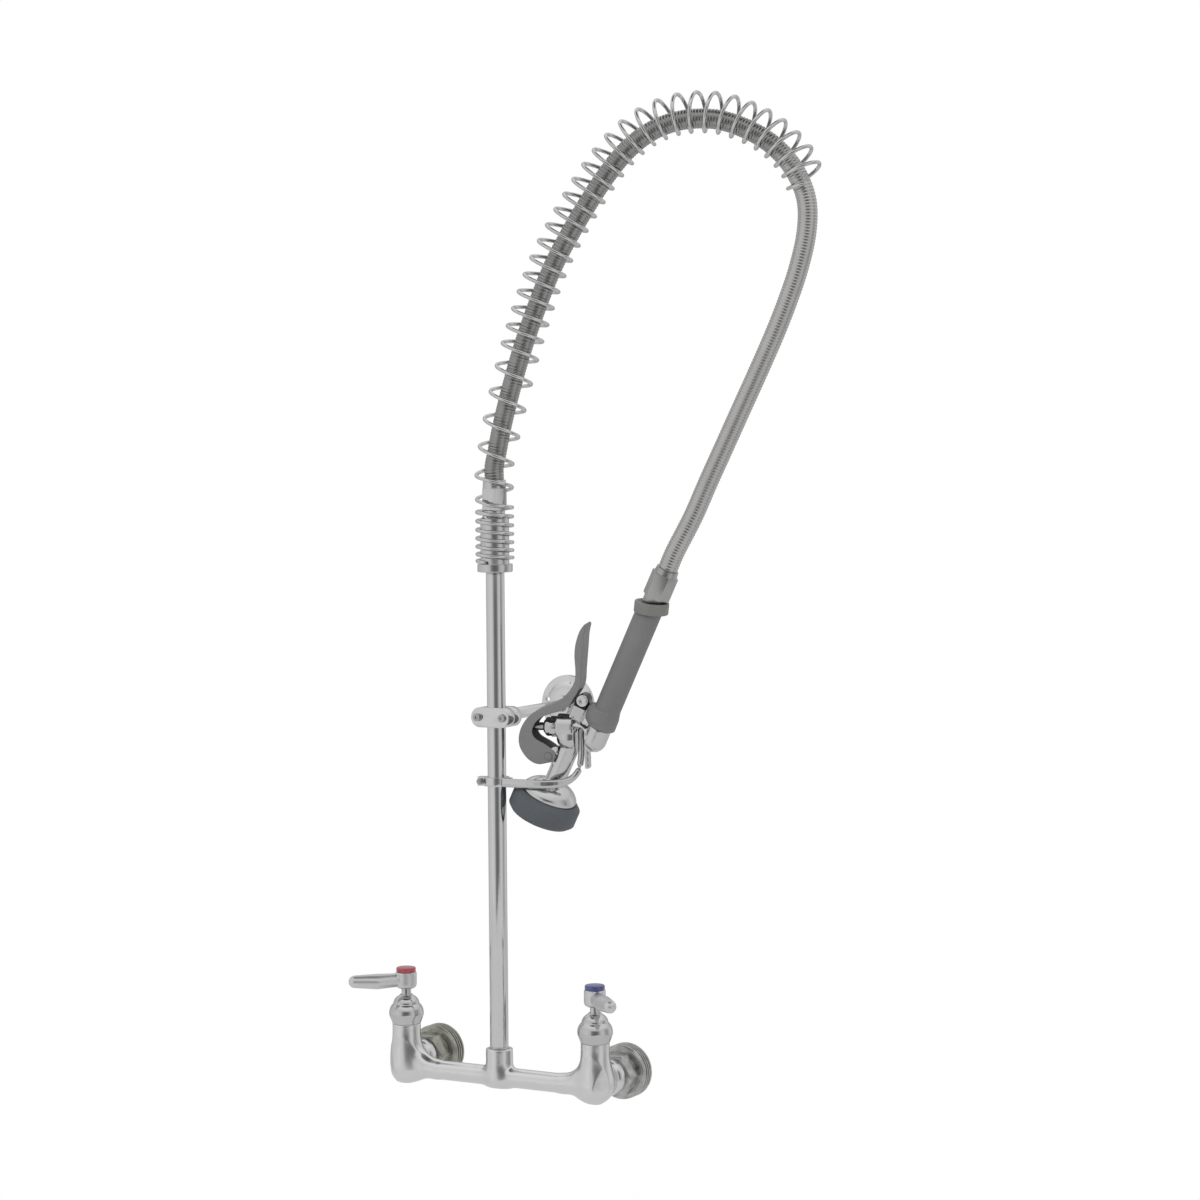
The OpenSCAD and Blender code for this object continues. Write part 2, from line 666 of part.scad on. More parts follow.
// Least clear distance between one stretch of the wire and the turns above it
near_hose = 24;      // the hose is looked at this far each way along its route
wire_gap = min([for (i = [0 : wire_rings - 1], j = [i + curl_rings - 2 : 1 : i + curl_rings + 2])
    if (j < wire_rings) norm(wire_pts[i] - wire_pts[j])]) - spring_wire;
hose_gap = min([for (i = [close_turns * curl_rings : wire_rings - 1])
    let (n = i / curl_rings, s0 = turn_s(n))
    min([for (d = [-near_hose : near_hose / 8 : near_hose])
        norm(wire_pts[i] - along(max(0, min(hose_len, s0 + d))))])])
    - (spring_wire + hose_d) / 2;
echo(hose_length = hose_len, spring_self_gap = wire_gap,
                        spring_to_hose_gap = hose_gap);

// ---- Wall bracket ------------------------------------------------------------------

clamp_half_w = riser_d / 2 + 11.5;
clamp_screw_x = riser_d / 2 + 4.6;
clamp_split = 0.8;
flange_plate_t = 4.5;
flange_hub_d = bracket_rod_d + 8;
flange_hub_len = 12;
bracket_hole_d = 5;
bracket_hole_r = 21;
bracket_holes = 3;
bracket_hole_turn = 48;
// Frame at the riser with +Z local pointing at the wall
module at_bracket() at_riser() translate([0, 0, bracket_z]) rotate([-90, 0, 0]) children();

module bracket_clamp() color(chrome) at_bracket() difference() {
    union() {
        for (front = [0, 1]) mirror([0, 0, front]) clamp_half();
    }
    rotate([90, 0, 0]) cylinder(d = riser_d + 2 * running, h = clamp_h + 2, center = true);
    for (side = [-1, 1]) translate([side * clamp_screw_x, 0, -clamp_t - riser_d])
        cylinder(d = screw_d, h = 2 * (clamp_t + riser_d));
    bore(bracket_rod_d, riser_d / 2 + 2.5, riser_d / 2 + clamp_t + 10);
}

// One half of the clamp, with round ends
module clamp_half() {
    block_z = riser_d / 2 + clamp_t - 6;
    end_x = clamp_half_w - clamp_h / 2;
    for (side = [-1, 1]) translate([side * end_x, 0, clamp_split / 2])
        cylinder(d = clamp_h, h = block_z);
    translate([-end_x, -clamp_h / 2, clamp_split / 2]) cube([2 * end_x, clamp_h, block_z]);
}

module bracket_screws() color(satin) at_bracket()
    for (side = [-1, 1]) translate([side * clamp_screw_x, 0, 0]) {
        head_z = -(riser_d / 2 + clamp_t - 6) - clamp_split / 2;
        bore(screw_d, head_z, -head_z);
        difference() {
            bore(screw_d * 1.8, head_z - 2.4, head_z);
            translate([0, 0, head_z - 2.4 - eps]) hexagon(2.6, 1.4);
        }
    }

module bracket_rod() color(chrome) at_bracket()
    bore(bracket_rod_d, riser_d / 2 + 2.5, bracket_reach - flange_plate_t);

module bracket_flange() color(chrome) at_bracket() difference() {
    union() {
        turned(concat(
            [[0, bracket_reach], [bracket_flange_d / 2, bracket_reach]],
            arc([bracket_flange_d / 2 - 1.5, bracket_reach - 1.5], 1.5, 0, -70, 3),
            arc([bracket_flange_d / 2 - 15.5, bracket_reach + 6], 12.6, -40, -90, 3),
            [[0, bracket_reach - flange_plate_t - 2.2]]));
        bore(flange_hub_d, bracket_reach - flange_plate_t - flange_hub_len, bracket_reach - 1);
    }
    bore(bracket_rod_d, bracket_reach - flange_plate_t - flange_hub_len - 1,
         bracket_reach - flange_plate_t);
    for (i = [0 : bracket_holes - 1])
        rotate([0, 0, -bracket_hole_turn + 360 * i / bracket_holes])
        translate([bracket_hole_r, 0, 0])
        bore(bracket_hole_d, bracket_reach - 20, bracket_reach + 1);
}

// ---- Finger hook --------------------------------------------------------------------

hook_ring_d = riser_d + 6;
ear_x = hook_ring_d / 2 + 6;
hook_screw_x = ear_x - 2.6;
// Middle of the hook's arm and finger in the arch's frame, measured from the clamp's height
HOOK_PATH = [[8, -9.8, 0], [24, -13.8, 0], [40, -16.4, 0], [52, -15.8, 0], [61, -12.4, 0.4],
             [68, -7, 2], [73.5, -2.6, 5.5], [78, -0.3, 12], [80, 0.3, 22], [80.6, 0, 33],
             [80.6, -0.6, 42], [80.6, -0.9, 49]];
hook_tip = 51.4;
hook_sides = 12;
function hook_at(i) = [HOOK_PATH[i][0], HOOK_PATH[i][1], hook_z + HOOK_PATH[i][2]];
function hook_point(t) =
    let (n = len(HOOK_PATH), i = min(n - 2, floor(t)), f = t - i,
         a = i > 0 ? hook_at(i - 1) : 2 * hook_at(0) - hook_at(1),
         d = i < n - 2 ? hook_at(i + 2) : 2 * hook_at(n - 1) - hook_at(n - 2))
    blend4(a, hook_at(i), hook_at(i + 1), d, f);
function hook_ring(t, shrink) =
    let (n = len(HOOK_PATH) - 1, h = unit(hook_point(min(n, t + 0.1)) - hook_point(max(0, t - 0.1))),
         k = smooth((t - 3) / 4), w = lerp(3.4, hook_d, k), tall = lerp(hook_arm_h, hook_d, k),
         across = abs(h[2]) > 0.95 ? unit([0, 1, 0] - h[1] * h) : unit([h[1], -h[0], 0]),
         up = cross(h, across))
    [for (j = [0 : hook_sides - 1]) let (a = 360 * (j + 0.5) / hook_sides)
        hook_point(t) + shrink * (w / 2 * cos(a) * across * 1.03
                                  + tall / 2 * sin(a) * up * 1.03)];

module finger_hook() color(chrome) in_arch() {
    n = len(HOOK_PATH) - 1;
    steps = [for (i = [0 : 2 * n]) i / 2];
    // the rounded tip: how far each ring draws in and how high it stands
    tip_rings = [[0.8, 1.4], [0.45, 2.4]];
    rings = concat(
        [for (t = steps) hook_ring(t, 1)],
        [for (r = tip_rings) [for (p = hook_ring(n, r[0])) p + [0, 0, r[1]]]]);
    polyhedron([for (r = rings) each r], concat(
        tube_wall(len(rings), hook_sides), cap(0, hook_sides, false),
        cap((len(rings) - 1) * hook_sides, hook_sides, true)));
}

module hook_clamp() color(chrome) in_arch() translate([0, 0, hook_z - hook_arm_h / 2]) {
    difference() {
        union() {
            cylinder(d = hook_ring_d, h = hook_arm_h);
            translate([-ear_x, -4, 0]) cube([ear_x, 8, hook_arm_h]);
            translate([0, -8, 0]) cube([hook_ring_d / 2 + 4, 6, hook_arm_h]);
        }
        bore(riser_d + 2 * running, -1, hook_arm_h + 1);
        translate([-ear_x - 1, -0.5, -1]) cube([ear_x, 1, hook_arm_h + 2]);
        translate([-hook_screw_x, 10, hook_arm_h / 2]) rotate([90, 0, 0]) cylinder(d = 3, h = 20);
    }
}

module hook_screws() color(satin) in_arch() {
    translate([-hook_screw_x, 0, hook_z]) rotate([90, 0, 0]) {
        bore(3, -6, 6);
        bore(6, 4, 6.4);
        translate([0, 0, -6.4]) hexagon(5.5, 2.4);
    }
}

// ---- Spray handset: valve body --------------------------------------------------------

neck_x = 0.5;
bell_r = 26;
bell_curve_r = 18.8;
skirt_z = -15.6;
skirt_bore = 21.5;
lip_r = 28.4;
stem_x = -27;
stem_q = 59;
// Frame of the valve's stem: +Z local points from the lever into the chamber
module in_stem() in_head() translate([stem_x, 0, stem_q]) rotate([0, 90 - head_tilt, 0]) children();
chamber_z0 = 12;
chamber_z1 = 27;
chamber_bore = 13;
shoulder = [-2.5, 60];
bridge = [-4, 70];
bridge_turn = 97;
bridge_d = 17;
outlet_q = 44;
outlet_turn = 34.4;
inlet_d = 22;
inlet_z = 67.5;
tube_d = 17;
tube_bore = 11;
tube_z0 = inlet_z + 2;
socket_top = 81;
lug = [-4.4, 98.2];
lug_r = 6;
lug_w = 12.6;
lug_foot = 78;
pivot = [-12.6, 37.2];
pivot_r = 6.2;
pivot_w = lever_w - 2 * lever_t - 2 * slip;
slot_w = 8.8;
slot_x = 80.7;
slot_top = hook_z + hook_tip + slip;
prong_w = 4.2;

module valve_body() color(chrome) difference() {
    union() {
        in_head() {
            // spray bell and neck
            turned(concat(
                [[0, skirt_z], [bell_r - 0.6, skirt_z], [bell_r - 0.6, -5], [lip_r, -5],
                 [lip_r, -2.8], [bell_r, -1.8], [bell_r, 3.2]],
                arc([9.4, -5.4], bell_curve_r, 31, 73, 6),
                [[neck_d / 2 + 1.2, 13.8], [neck_d / 2, 16.5], [neck_d / 2, 54], [0, 54]]));
            // chamber's shoulder above the neck
            translate([shoulder[0], 0, shoulder[1]]) sphere(d = chamber_d + 1);
            // bridge to the grip's side
            translate([bridge[0], 0, bridge[1]]) rotate([0, bridge_turn, 0])
                cylinder(d = bridge_d, h = grip_x - bridge[0]);
            translate([grip_x, 0, inlet_z]) sphere(d = inlet_d);
            translate([grip_x, 0, inlet_z]) cylinder(d = inlet_d, h = socket_top - inlet_z);
            // ear for the body screw
            translate([lug[0], 0, lug[1]]) rotate([90, 0, 0])
                cylinder(r = lug_r, h = lug_w, center = true);
            translate([lug[0] - lug_r, -lug_w / 2, lug_foot])
                cube([2 * lug_r, lug_w, lug[1] - lug_foot]);
            // ear for the lever's pin
            translate([pivot[0], 0, pivot[1]]) rotate([90, 0, 0])
                cylinder(r = pivot_r, h = pivot_w, center = true);
            translate([pivot[0], -pivot_w / 2, pivot[1] - pivot_r + 1])
                cube([-pivot[0], pivot_w, 2 * pivot_r - 2]);
        }
        in_stem() bore(chamber_d, chamber_z0, chamber_z1);
        // prong that closes the hanging slot
        in_arch() translate([slot_x + slot_w / 2, -6, 284])
            rotate([head_lean, 0, 0]) cube([prong_w, 9, 30]);
    }
    // hanging slot, open downwards and through from front to back
    in_arch() translate([slot_x - slot_w / 2, -40, 270]) cube([slot_w, 80, slot_top - 270 - 3]);
    in_arch() translate([slot_x, 40, slot_top - 4.4]) rotate([90, 0, 0]) cylinder(d = slot_w, h = 80);
    // water ways
    in_head() {
        bore(2 * skirt_bore, skirt_z - eps, -2);
        translate([neck_x, 0, 0]) bore(water_d, -3, outlet_q + 4);
        translate([neck_x, 0, outlet_q]) rotate([0, -outlet_turn, 0]) cylinder(d = 6.4, h = 21);
        translate([grip_x, 0, 0]) bore(tube_d, tube_z0, socket_top + eps);
        translate([grip_x, 0, 0]) bore(tube_bore, inlet_z, socket_top + eps);
        translate([bridge[0] + 2, 0, bridge[1]]) rotate([0, bridge_turn, 0])
            cylinder(d = 7, h = grip_x - bridge[0] - 2);
        translate([lug[0], 0, lug[1]]) rotate([90, 0, 0]) cylinder(d = screw_d, h = 30, center = true);
        translate([pivot[0], 0, pivot[1]]) rotate([90, 0, 0])
            cylinder(d = lever_pin_d, h = 30, center = true);
    }
    in_stem() {
        bore(head_bonnet_d + 1, -6, chamber_z0);
        bore(chamber_bore, chamber_z0 - eps, chamber_z1 + eps);
    }
}

// ---- Spray handset: valve insides -------------------------------------------------------

poppet_d = 11.6;
poppet_z = 17.3;
poppet_t = 2.4;
poppet_disc_t = 1.2;
valve_seat_bore = 9.4;
seat_pocket_z = 13.4;     // where the water's room round the stem begins
stem_pin_d = 4;
stem_travel = 1.8;
spring_seat_t = 1.6;
stem_tip = -15.2;

module head_bonnet() color(chrome) in_stem() difference() {
    union() {
        turned(concat(
            [[0, -1.4]], [[stem_d / 2 + 2.4, -1.4], [head_bonnet_d / 2 - 1.6, 0]],
            arc([head_bonnet_d / 2 - 1.6, 1.6], 1.6, -60, 0, 3),
            [[head_bonnet_d / 2, chamber_z0], [0, chamber_z0]]));
        translate([0, 0, 5]) hexagon(head_bonnet_d - 0.4, 5.5);
        bore(chamber_bore, chamber_z0 - eps, poppet_z);
    }
    bore(stem_d + 2 * running, -2, poppet_z);
    bore(valve_seat_bore, seat_pocket_z, poppet_z + eps);
    for (a = [0, 60, 120]) rotate([0, 0, a]) translate([0, 0, seat_pocket_z + 2])
        rotate([90, 0, 0]) cylinder(d = 2.6, h = 20, center = true);
}

module valve_stem() color(satin) in_stem() {
    tip_r = stem_d / 2;
    translate([0, 0, stem_tip]) sphere(r = tip_r);
    bore(stem_d, stem_tip, seat_pocket_z - slip);
    bore(stem_pin_d, seat_pocket_z - 2 * slip, poppet_z + poppet_t + poppet_disc_t);
    bore(poppet_d, poppet_z + poppet_t, poppet_z + poppet_t + poppet_disc_t);
}

module stem_washer() color(rubber) in_stem() difference() {
    bore(poppet_d, poppet_z, poppet_z + poppet_t);
    bore(stem_pin_d, poppet_z - eps, poppet_z + poppet_t + eps);
}

stem_spring_d = 10;
stem_spring_wall = 1;
module stem_spring() color(satin) in_stem() difference() {
    z0 = poppet_z + poppet_t + poppet_disc_t + stem_travel + slip;
    bore(stem_spring_d, z0, chamber_z1 - spring_seat_t);
    bore(stem_spring_d - 2 * stem_spring_wall, z0 - eps, chamber_z1);
}

module spring_seat() color(brass) in_stem() difference() {
    bore(chamber_bore, chamber_z1 - spring_seat_t, chamber_z1);
    for (a = [0 : 60 : 300]) rotate([0, 0, a]) translate([2.6, 0, 0])
        bore(2, chamber_z1 - spring_seat_t - eps, chamber_z1 + eps);
}

// ---- Spray handset: squeeze lever ---------------------------------------------------------

// Outer edge of the lever, from its tip down the blade and round the loop to the pin
LEVER_OUT = [[-29.6, 165], [-31.2, 158], [-30.8, 149], [-29.2, 141], [-26, 132.5], [-20.6, 122.5],
             [-17, 112], [-18.6, 101], [-23.6, 89], [-34, 77.8], [-42.6, 67], [-46.6, 55],
             [-46.2, 43.5], [-42.6, 34.6], [-36, 28], [-27, 24], [-18.5, 23.4]];
// Inner edge, from the pin's ear back to the tip
LEVER_IN = [[-6.4, 37], [-8.5, 41], [-19.7, 43.2], [-30.6, 42.4], [-35.2, 46], [-37.2, 52],
            [-36.6, 60], [-33.4, 67], [-29, 71.8], [-18.8, 81.4], [-13.4, 89.5], [-12.6, 97],
            [-10.4, 104], [-9.2, 112], [-14, 126], [-19, 142], [-24.6, 156], [-26.8, 163.4]];
// Open side of the channel, outside the inner edge, from the pin's ear back to the tip
CHANNEL_IN = [[-18, 24.6], [-4, 20], [0, 30], [0, 44], [-19, 45.5], [-29, 45.5], [-33, 50],
              [-34, 60], [-31, 66], [-16, 80], [-6, 97], [-4, 112], [-8, 126], [-14, 142],
              [-22.6, 154], [-27.6, 160]];
function inset(pts, t) = [for (i = [0 : len(pts) - 1])
    let (d = unit(pts[min(len(pts) - 1, i + 1)] - pts[max(0, i - 1)])) pts[i] + t * [-d[1], d[0]]];

module lever_outline() {
    polygon(concat(LEVER_OUT, arc(pivot, pivot_r + 0.4, -100, 0, 5), LEVER_IN));
}

module squeeze_lever() color(grey) in_head() rotate([90, 0, 0]) difference() {
    union() {
        linear_extrude(lever_w, center = true) lever_outline();
        translate([pivot[0], pivot[1], 0])
            cylinder(r = pivot_r + 0.4, h = lever_w, center = true);
    }
    // the channel between the two sides, open towards the grip
    linear_extrude(lever_w - 2 * lever_t, center = true) polygon(concat(
        [for (i = [1 : len(LEVER_OUT) - 1]) inset(LEVER_OUT, lever_t)[i]], CHANNEL_IN));
    translate([pivot[0], pivot[1], 0])
        cylinder(d = lever_pin_d + 2 * running, h = lever_w + 2, center = true);
}

module lever_pin() color(satin) in_head() translate([pivot[0], 0, pivot[1]]) rotate([90, 0, 0]) {
    bore(lever_pin_d, -lever_w / 2 - 0.6, lever_w / 2 + 0.6);
    for (end = [0, 1]) mirror([0, 0, end])
        bore(lever_pin_d + 2.4, lever_w / 2 + slip, lever_w / 2 + 1.5);
}

module body_screw() color(chrome) in_head() translate([lug[0], 0, lug[1]]) rotate([90, 0, 0])
    difference() {
        head_r = lug_r - 0.3;
        union() {
            bore(screw_d, -lug_w / 2, lug_w / 2);
            turned([[0, lug_w / 2], [head_r, lug_w / 2], [head_r, lug_w / 2 + 0.6],
                    [head_r - 0.6, lug_w / 2 + 1.2], [0, lug_w / 2 + 1.2]]);
        }
        translate([0, 0, lug_w / 2 + 0.2]) cylinder(d = 5, h = 3, $fn = 6);
    }

// ---- Spray head ------------------------------------------------------------------------------

face_z = skirt_z - 0.8;
face_t = 2.6;
face_d = 2 * bell_r - 1.6;
face_screw_r = 23.2;
spray_rings = [[6, 6], [12, 11], [18, 16]];
edge = 4.2;

module spray_gasket() color(rubber) in_head() difference() {
    bore(face_d, face_z, skirt_z);
    bore(2 * skirt_bore, face_z - eps, skirt_z + eps);
    for (a = [0, 120, 240]) rotate([0, 0, a]) translate([face_screw_r, 0, 0])
        bore(2, face_z - 1, skirt_z + 1);
}

module spray_face() color(satin) in_head() difference() {
    bore(face_d, face_z - face_t, face_z);
    for (ring = spray_rings, i = [0 : ring[0] - 1]) rotate([0, 0, 360 * i / ring[0]])
        translate([ring[1], 0, 0]) bore(1.5, face_z - face_t - eps, face_z + eps);
    for (a = [0, 120, 240]) rotate([0, 0, a]) translate([face_screw_r, 0, 0])
        bore(2, face_z - face_t - 1, face_z + 1);
}

module face_screws() color(satin) in_head() for (a = [0, 120, 240]) rotate([0, 0, a])
    translate([face_screw_r, 0, 0]) {
        bore(2, face_z - face_t, skirt_z);
        bore(3.4, face_z - face_t - 1, face_z - face_t);
    }

module bumper() color(dark_rubber) in_head() difference() {
    turned([[0, -bumper_h], [bumper_d / 2 - edge, -bumper_h], [bumper_d / 2, edge - bumper_h],
            [bumper_d / 2, -edge], [bumper_d / 2 - edge, 0], [0, 0]]);
    bore(2 * bell_r + 2 * running, -bumper_h - eps, eps);
    bore(2 * lip_r + 2 * running, -5 - running, -1.2);
}

// ---- Grip and hose ferrule ----------------------------------------------------------------------

tube_z1 = grip_top + 9;
boot_z = 91.5;
boot_d = 29.5;
ferrule_band = 7.6;

module at_grip() in_head() translate([grip_x, 0, 0]) children();

module grip_tube() color(brass) at_grip() difference() {
    bore(tube_d, tube_z0, tube_z1);
    bore(tube_bore, tube_z0 - eps, tube_z1 + eps);
}

module grip() color(grey) at_grip() difference() {
    union() {
        turned(concat(
            [[0, socket_top]],
            arc([grip_d / 2 - 1, socket_top + 3], 3, -90, -20, 3),
            [[grip_d / 2 + 1.6, socket_top + 12], [grip_d / 2, socket_top + 20],
             [grip_d / 2, grip_top - 1], [grip_d / 2 - 1, grip_top], [0, grip_top]]));
        translate([-2.4, 0, boot_z]) rotate([0, -8, 0]) turned(concat(
            arc([boot_d / 2 - 6, -3], 6, -90, 0, 4), arc([boot_d / 2 - 4, 5], 4, 0, 80, 4),
            [[0, 9], [0, -9]]));
    }
    bore(tube_d + 2 * running, socket_top - 8, grip_top + eps);
}

module hold_ring() color(dark_grey) at_grip() difference() {
    tilt = 17;
    translate([0.5, 0, grip_top - 2.4]) rotate([0, -tilt, 0]) turned(concat(
        [[0, -ring_h / 2]],
        arc([ring_d / 2 - 1, 1 - ring_h / 2], 1, -90, 0, 3),
        arc([ring_d / 2 - 1, ring_h / 2 - 1], 1, 0, 90, 3), [[0, ring_h / 2]]));
    bore(grip_d + 2 * slip, grip_top - 20, grip_top + 20);
}

module hose_ferrule() color(satin) at_grip() translate([0.6, 0, 0]) difference() {
    union() {
        bore(ferrule_af - 1, ferrule_z0, ferrule_z0 + ferrule_band);
        translate([0, 0, ferrule_z0 + ferrule_band])
            hexagon(ferrule_af, ferrule_len - 5.2 - ferrule_band);
        translate([0, 0, ferrule_z1 - 5.2])
            cylinder(d1 = ferrule_af - 0.5, d2 = hose_d + 2.5, h = 5.2);
    }
    translate([-0.6, 0, 0]) bore(tube_d + 2 * running, ferrule_z0 - eps, tube_z1 + 2);
    bore(hose_bore, tube_z1, ferrule_z1 + eps);
}

module ferrule_washer() color(rubber) at_grip() difference() {
    bore(tube_d - 0.2, tube_z1, tube_z1 + 2);
    bore(tube_bore, tube_z1 - eps, tube_z1 + 2 + eps);
}

// ---- Nodes --------------------------------------------------------------------------------------

faucet_body();
riser();
spring_body();
spring();
hose_nut();
hose_washer();
hose();
inlet_flange(hot);  // hot_inlet_flange
inlet_washer(hot);  // hot_inlet_washer
coupling_nut(hot);  // hot_coupling_nut
bonnet(hot);  // hot_bonnet
cartridge(hot);  // hot_cartridge
seat(hot);  // hot_seat
plug(hot);  // hot_plug
spindle(hot);  // hot_spindle
handle(hot);  // hot_handle
handle_screw(hot);  // hot_handle_screw
index(hot);  // hot_index
inlet_flange(cold);  // cold_inlet_flange
inlet_washer(cold);  // cold_inlet_washer
coupling_nut(cold);  // cold_coupling_nut
bonnet(cold);  // cold_bonnet
cartridge(cold);  // cold_cartridge
seat(cold);  // cold_seat
plug(cold);  // cold_plug
spindle(cold);  // cold_spindle
handle(cold);  // cold_handle
handle_screw(cold);  // cold_handle_screw
index(cold);  // cold_index
bracket_flange();
bracket_rod();
bracket_clamp();
bracket_screws();
finger_hook();
hook_clamp();
hook_screws();
valve_body();
head_bonnet();
valve_stem();
stem_washer();
stem_spring();
spring_seat();
squeeze_lever();
lever_pin();
body_screw();
spray_gasket();
spray_face();
face_screws();
bumper();
grip_tube();
grip();
hold_ring();
hose_ferrule();
ferrule_washer();
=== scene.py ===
# %% [markdown]
# # A pre-rinse faucet, dressed for its picture
#
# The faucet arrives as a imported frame: fifty-four plain solids on nine rigid bodies, in metres. This
# script gives every one of them its finish, and makes anew the pieces whose looks a plain solid can't
# hold: hose and spring, castings, bonnets, the lever, and the broken edges of what was machined.

# %% Load the frame
import json
import math

import bmesh
import bpy
import numpy as np
from mathutils import Matrix, Vector

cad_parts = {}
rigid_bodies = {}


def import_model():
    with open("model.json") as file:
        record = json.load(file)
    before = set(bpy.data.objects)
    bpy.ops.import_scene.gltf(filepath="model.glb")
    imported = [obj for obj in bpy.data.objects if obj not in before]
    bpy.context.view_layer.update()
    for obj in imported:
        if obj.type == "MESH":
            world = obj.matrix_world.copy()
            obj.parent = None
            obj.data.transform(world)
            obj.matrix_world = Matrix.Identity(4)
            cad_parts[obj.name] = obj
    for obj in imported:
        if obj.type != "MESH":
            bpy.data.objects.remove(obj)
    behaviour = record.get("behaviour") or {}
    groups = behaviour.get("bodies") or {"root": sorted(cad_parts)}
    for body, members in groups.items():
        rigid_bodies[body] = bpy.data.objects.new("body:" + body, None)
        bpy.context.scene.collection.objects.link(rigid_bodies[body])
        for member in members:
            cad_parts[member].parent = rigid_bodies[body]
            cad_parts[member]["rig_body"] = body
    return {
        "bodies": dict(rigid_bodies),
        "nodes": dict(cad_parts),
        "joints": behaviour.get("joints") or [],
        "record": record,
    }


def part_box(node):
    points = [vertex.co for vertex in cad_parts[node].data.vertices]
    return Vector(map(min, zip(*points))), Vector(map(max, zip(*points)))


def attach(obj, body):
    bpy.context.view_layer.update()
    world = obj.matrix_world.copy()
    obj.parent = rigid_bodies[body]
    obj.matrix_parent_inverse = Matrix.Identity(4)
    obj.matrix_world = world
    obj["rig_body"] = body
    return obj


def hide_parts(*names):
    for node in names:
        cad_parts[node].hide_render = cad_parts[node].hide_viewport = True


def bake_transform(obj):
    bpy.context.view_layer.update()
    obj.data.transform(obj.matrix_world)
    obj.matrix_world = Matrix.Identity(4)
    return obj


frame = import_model()
nodes = frame["nodes"]
joints = {joint["name"]: joint for joint in frame["joints"]}
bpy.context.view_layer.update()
MM = 0.001

# %% [markdown]
# ## The camera
#
# A product picture is taken with a long lens from a few metres, so that upright tubes stay upright.
# The camera could be aimed with a Track To constraint, but a constraint hides its numbers. Here the
# three directions of the camera, right, up and back, are worked out from its compass angle, its
# downward tilt and its small roll, and become the columns of its matrix.

# %% Camera
camera_place = Vector((1.45775, -2.49363, 0.60327))
camera_turn = math.radians(29.0)
camera_dip = math.radians(3.36)
camera_roll = math.radians(-0.40)
lens_mm, sensor_mm = 92.7, 36.0

ahead = Vector((-math.sin(camera_turn) * math.cos(camera_dip),
                math.cos(camera_turn) * math.cos(camera_dip), -math.sin(camera_dip)))
level_right = Vector((math.cos(camera_turn), math.sin(camera_turn), 0))
level_up = level_right.cross(ahead)
right = math.cos(camera_roll) * level_right + math.sin(camera_roll) * level_up
up = -math.sin(camera_roll) * level_right + math.cos(camera_roll) * level_up

camera = bpy.data.objects.new("camera", bpy.data.cameras.new("camera"))
camera.data.lens, camera.data.sensor_width = lens_mm, sensor_mm
camera_axes = Matrix((right, up, -ahead)).transposed().to_4x4()
camera.matrix_world = Matrix.Translation(camera_place) @ camera_axes
bpy.context.scene.collection.objects.link(camera)
bpy.context.scene.camera = camera
print("camera looks along", [round(x, 3) for x in ahead])

# %% [markdown]
# ## Where things are
#
# Two tilted frames are used again and again: the arch's, turned a little out of the wall's plane, and
# the handset's, which also leans. They could be typed in as angles, but the joints already know them:
# the handset slides across the arch's plane, the hold-open ring slides down the grip, and the lever
# turns about the handset's side axis. Reading the axes from the joints keeps scene and solids in step.

# %% Frames from the joints
def joint_axis(name):
    return Vector(joints[name]["axis"]).normalized()


def frame_matrix(x_axis, y_axis, z_axis, origin):
    columns = Matrix((x_axis, y_axis, z_axis)).transposed().to_4x4()
    return Matrix.Translation(origin) @ columns


riser_low, riser_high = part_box("riser")
riser_foot = Vector(((riser_low.x + riser_high.x) / 2, (riser_low.y + riser_high.y) / 2, 0))
across_arch, skyward = joint_axis("handset"), Vector((0, 0, 1))
arch_frame = frame_matrix(across_arch.cross(skyward), across_arch, skyward, riser_foot)

grip_up, head_side = -joint_axis("hold_ring"), joint_axis("squeeze_lever")
head_out = head_side.cross(grip_up)
LEVER_PIN = Vector((-12.6, 0, 37.2)) * MM     # in the handset's frame
head_turn = Matrix((head_out, head_side, grip_up)).transposed()
head_frame = frame_matrix(head_out, head_side, grip_up,
                          Vector(joints["squeeze_lever"]["pos_m"]) - head_turn @ LEVER_PIN)
print("handset's frame at", [round(x, 4) for x in head_frame.translation])

# %% [markdown]
# ## A curve through points
#
# The hose's route is a short list of points. A Catmull-Rom curve passes through every one of them. A
# Bezier with automatic handles would look alike, but this formula is short. Distances along the
# curve are summed once, and any place on it is then looked up by its distance from the start.

# %% The hose's route
ROUTE = [
    (3, 0, 574), (8, 0, 598), (17, 0, 632), (28, 0, 668), (42, 0, 706), (57, 0, 741),
    (73, 0, 770), (89, 0, 795.6), (106, 0, 820.2), (125, 0, 842.6), (146, 0, 858.8),
    (168, 0, 867.8), (190, 0, 870.8), (213, 0, 868.8), (236, 0, 860.6), (257, -1, 848.2),
    (274, -1, 831.6), (286, -2, 812), (292, -3, 791), (291.3, -5, 765), (285, -9, 735),
    (276.1, -13, 707), (265.6, -17, 679), (252, -21, 647), (236.7, -24, 613),
    (221.7, -26, 580), (206, -27, 546), (192, -27, 515),
]
HOSE_D, HOSE_BORE = 18.0, 9.0
STRAIGHT_FOOT, STRAIGHT_END = 12, 18        # how far the hose runs straight at each fitting
FERRULE_OUT, FERRULE_TOP = 19.8, 243.3      # in the handset's frame
hose_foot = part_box("hose_nut")[1].z / MM
to_arch = arch_frame.inverted()


def from_head(x, y, q):
    """A point of the handset's frame, in millimetres, in the arch's frame."""
    point = to_arch @ head_frame @ (Vector((x, y, q)) * MM) / MM
    return np.array(point)


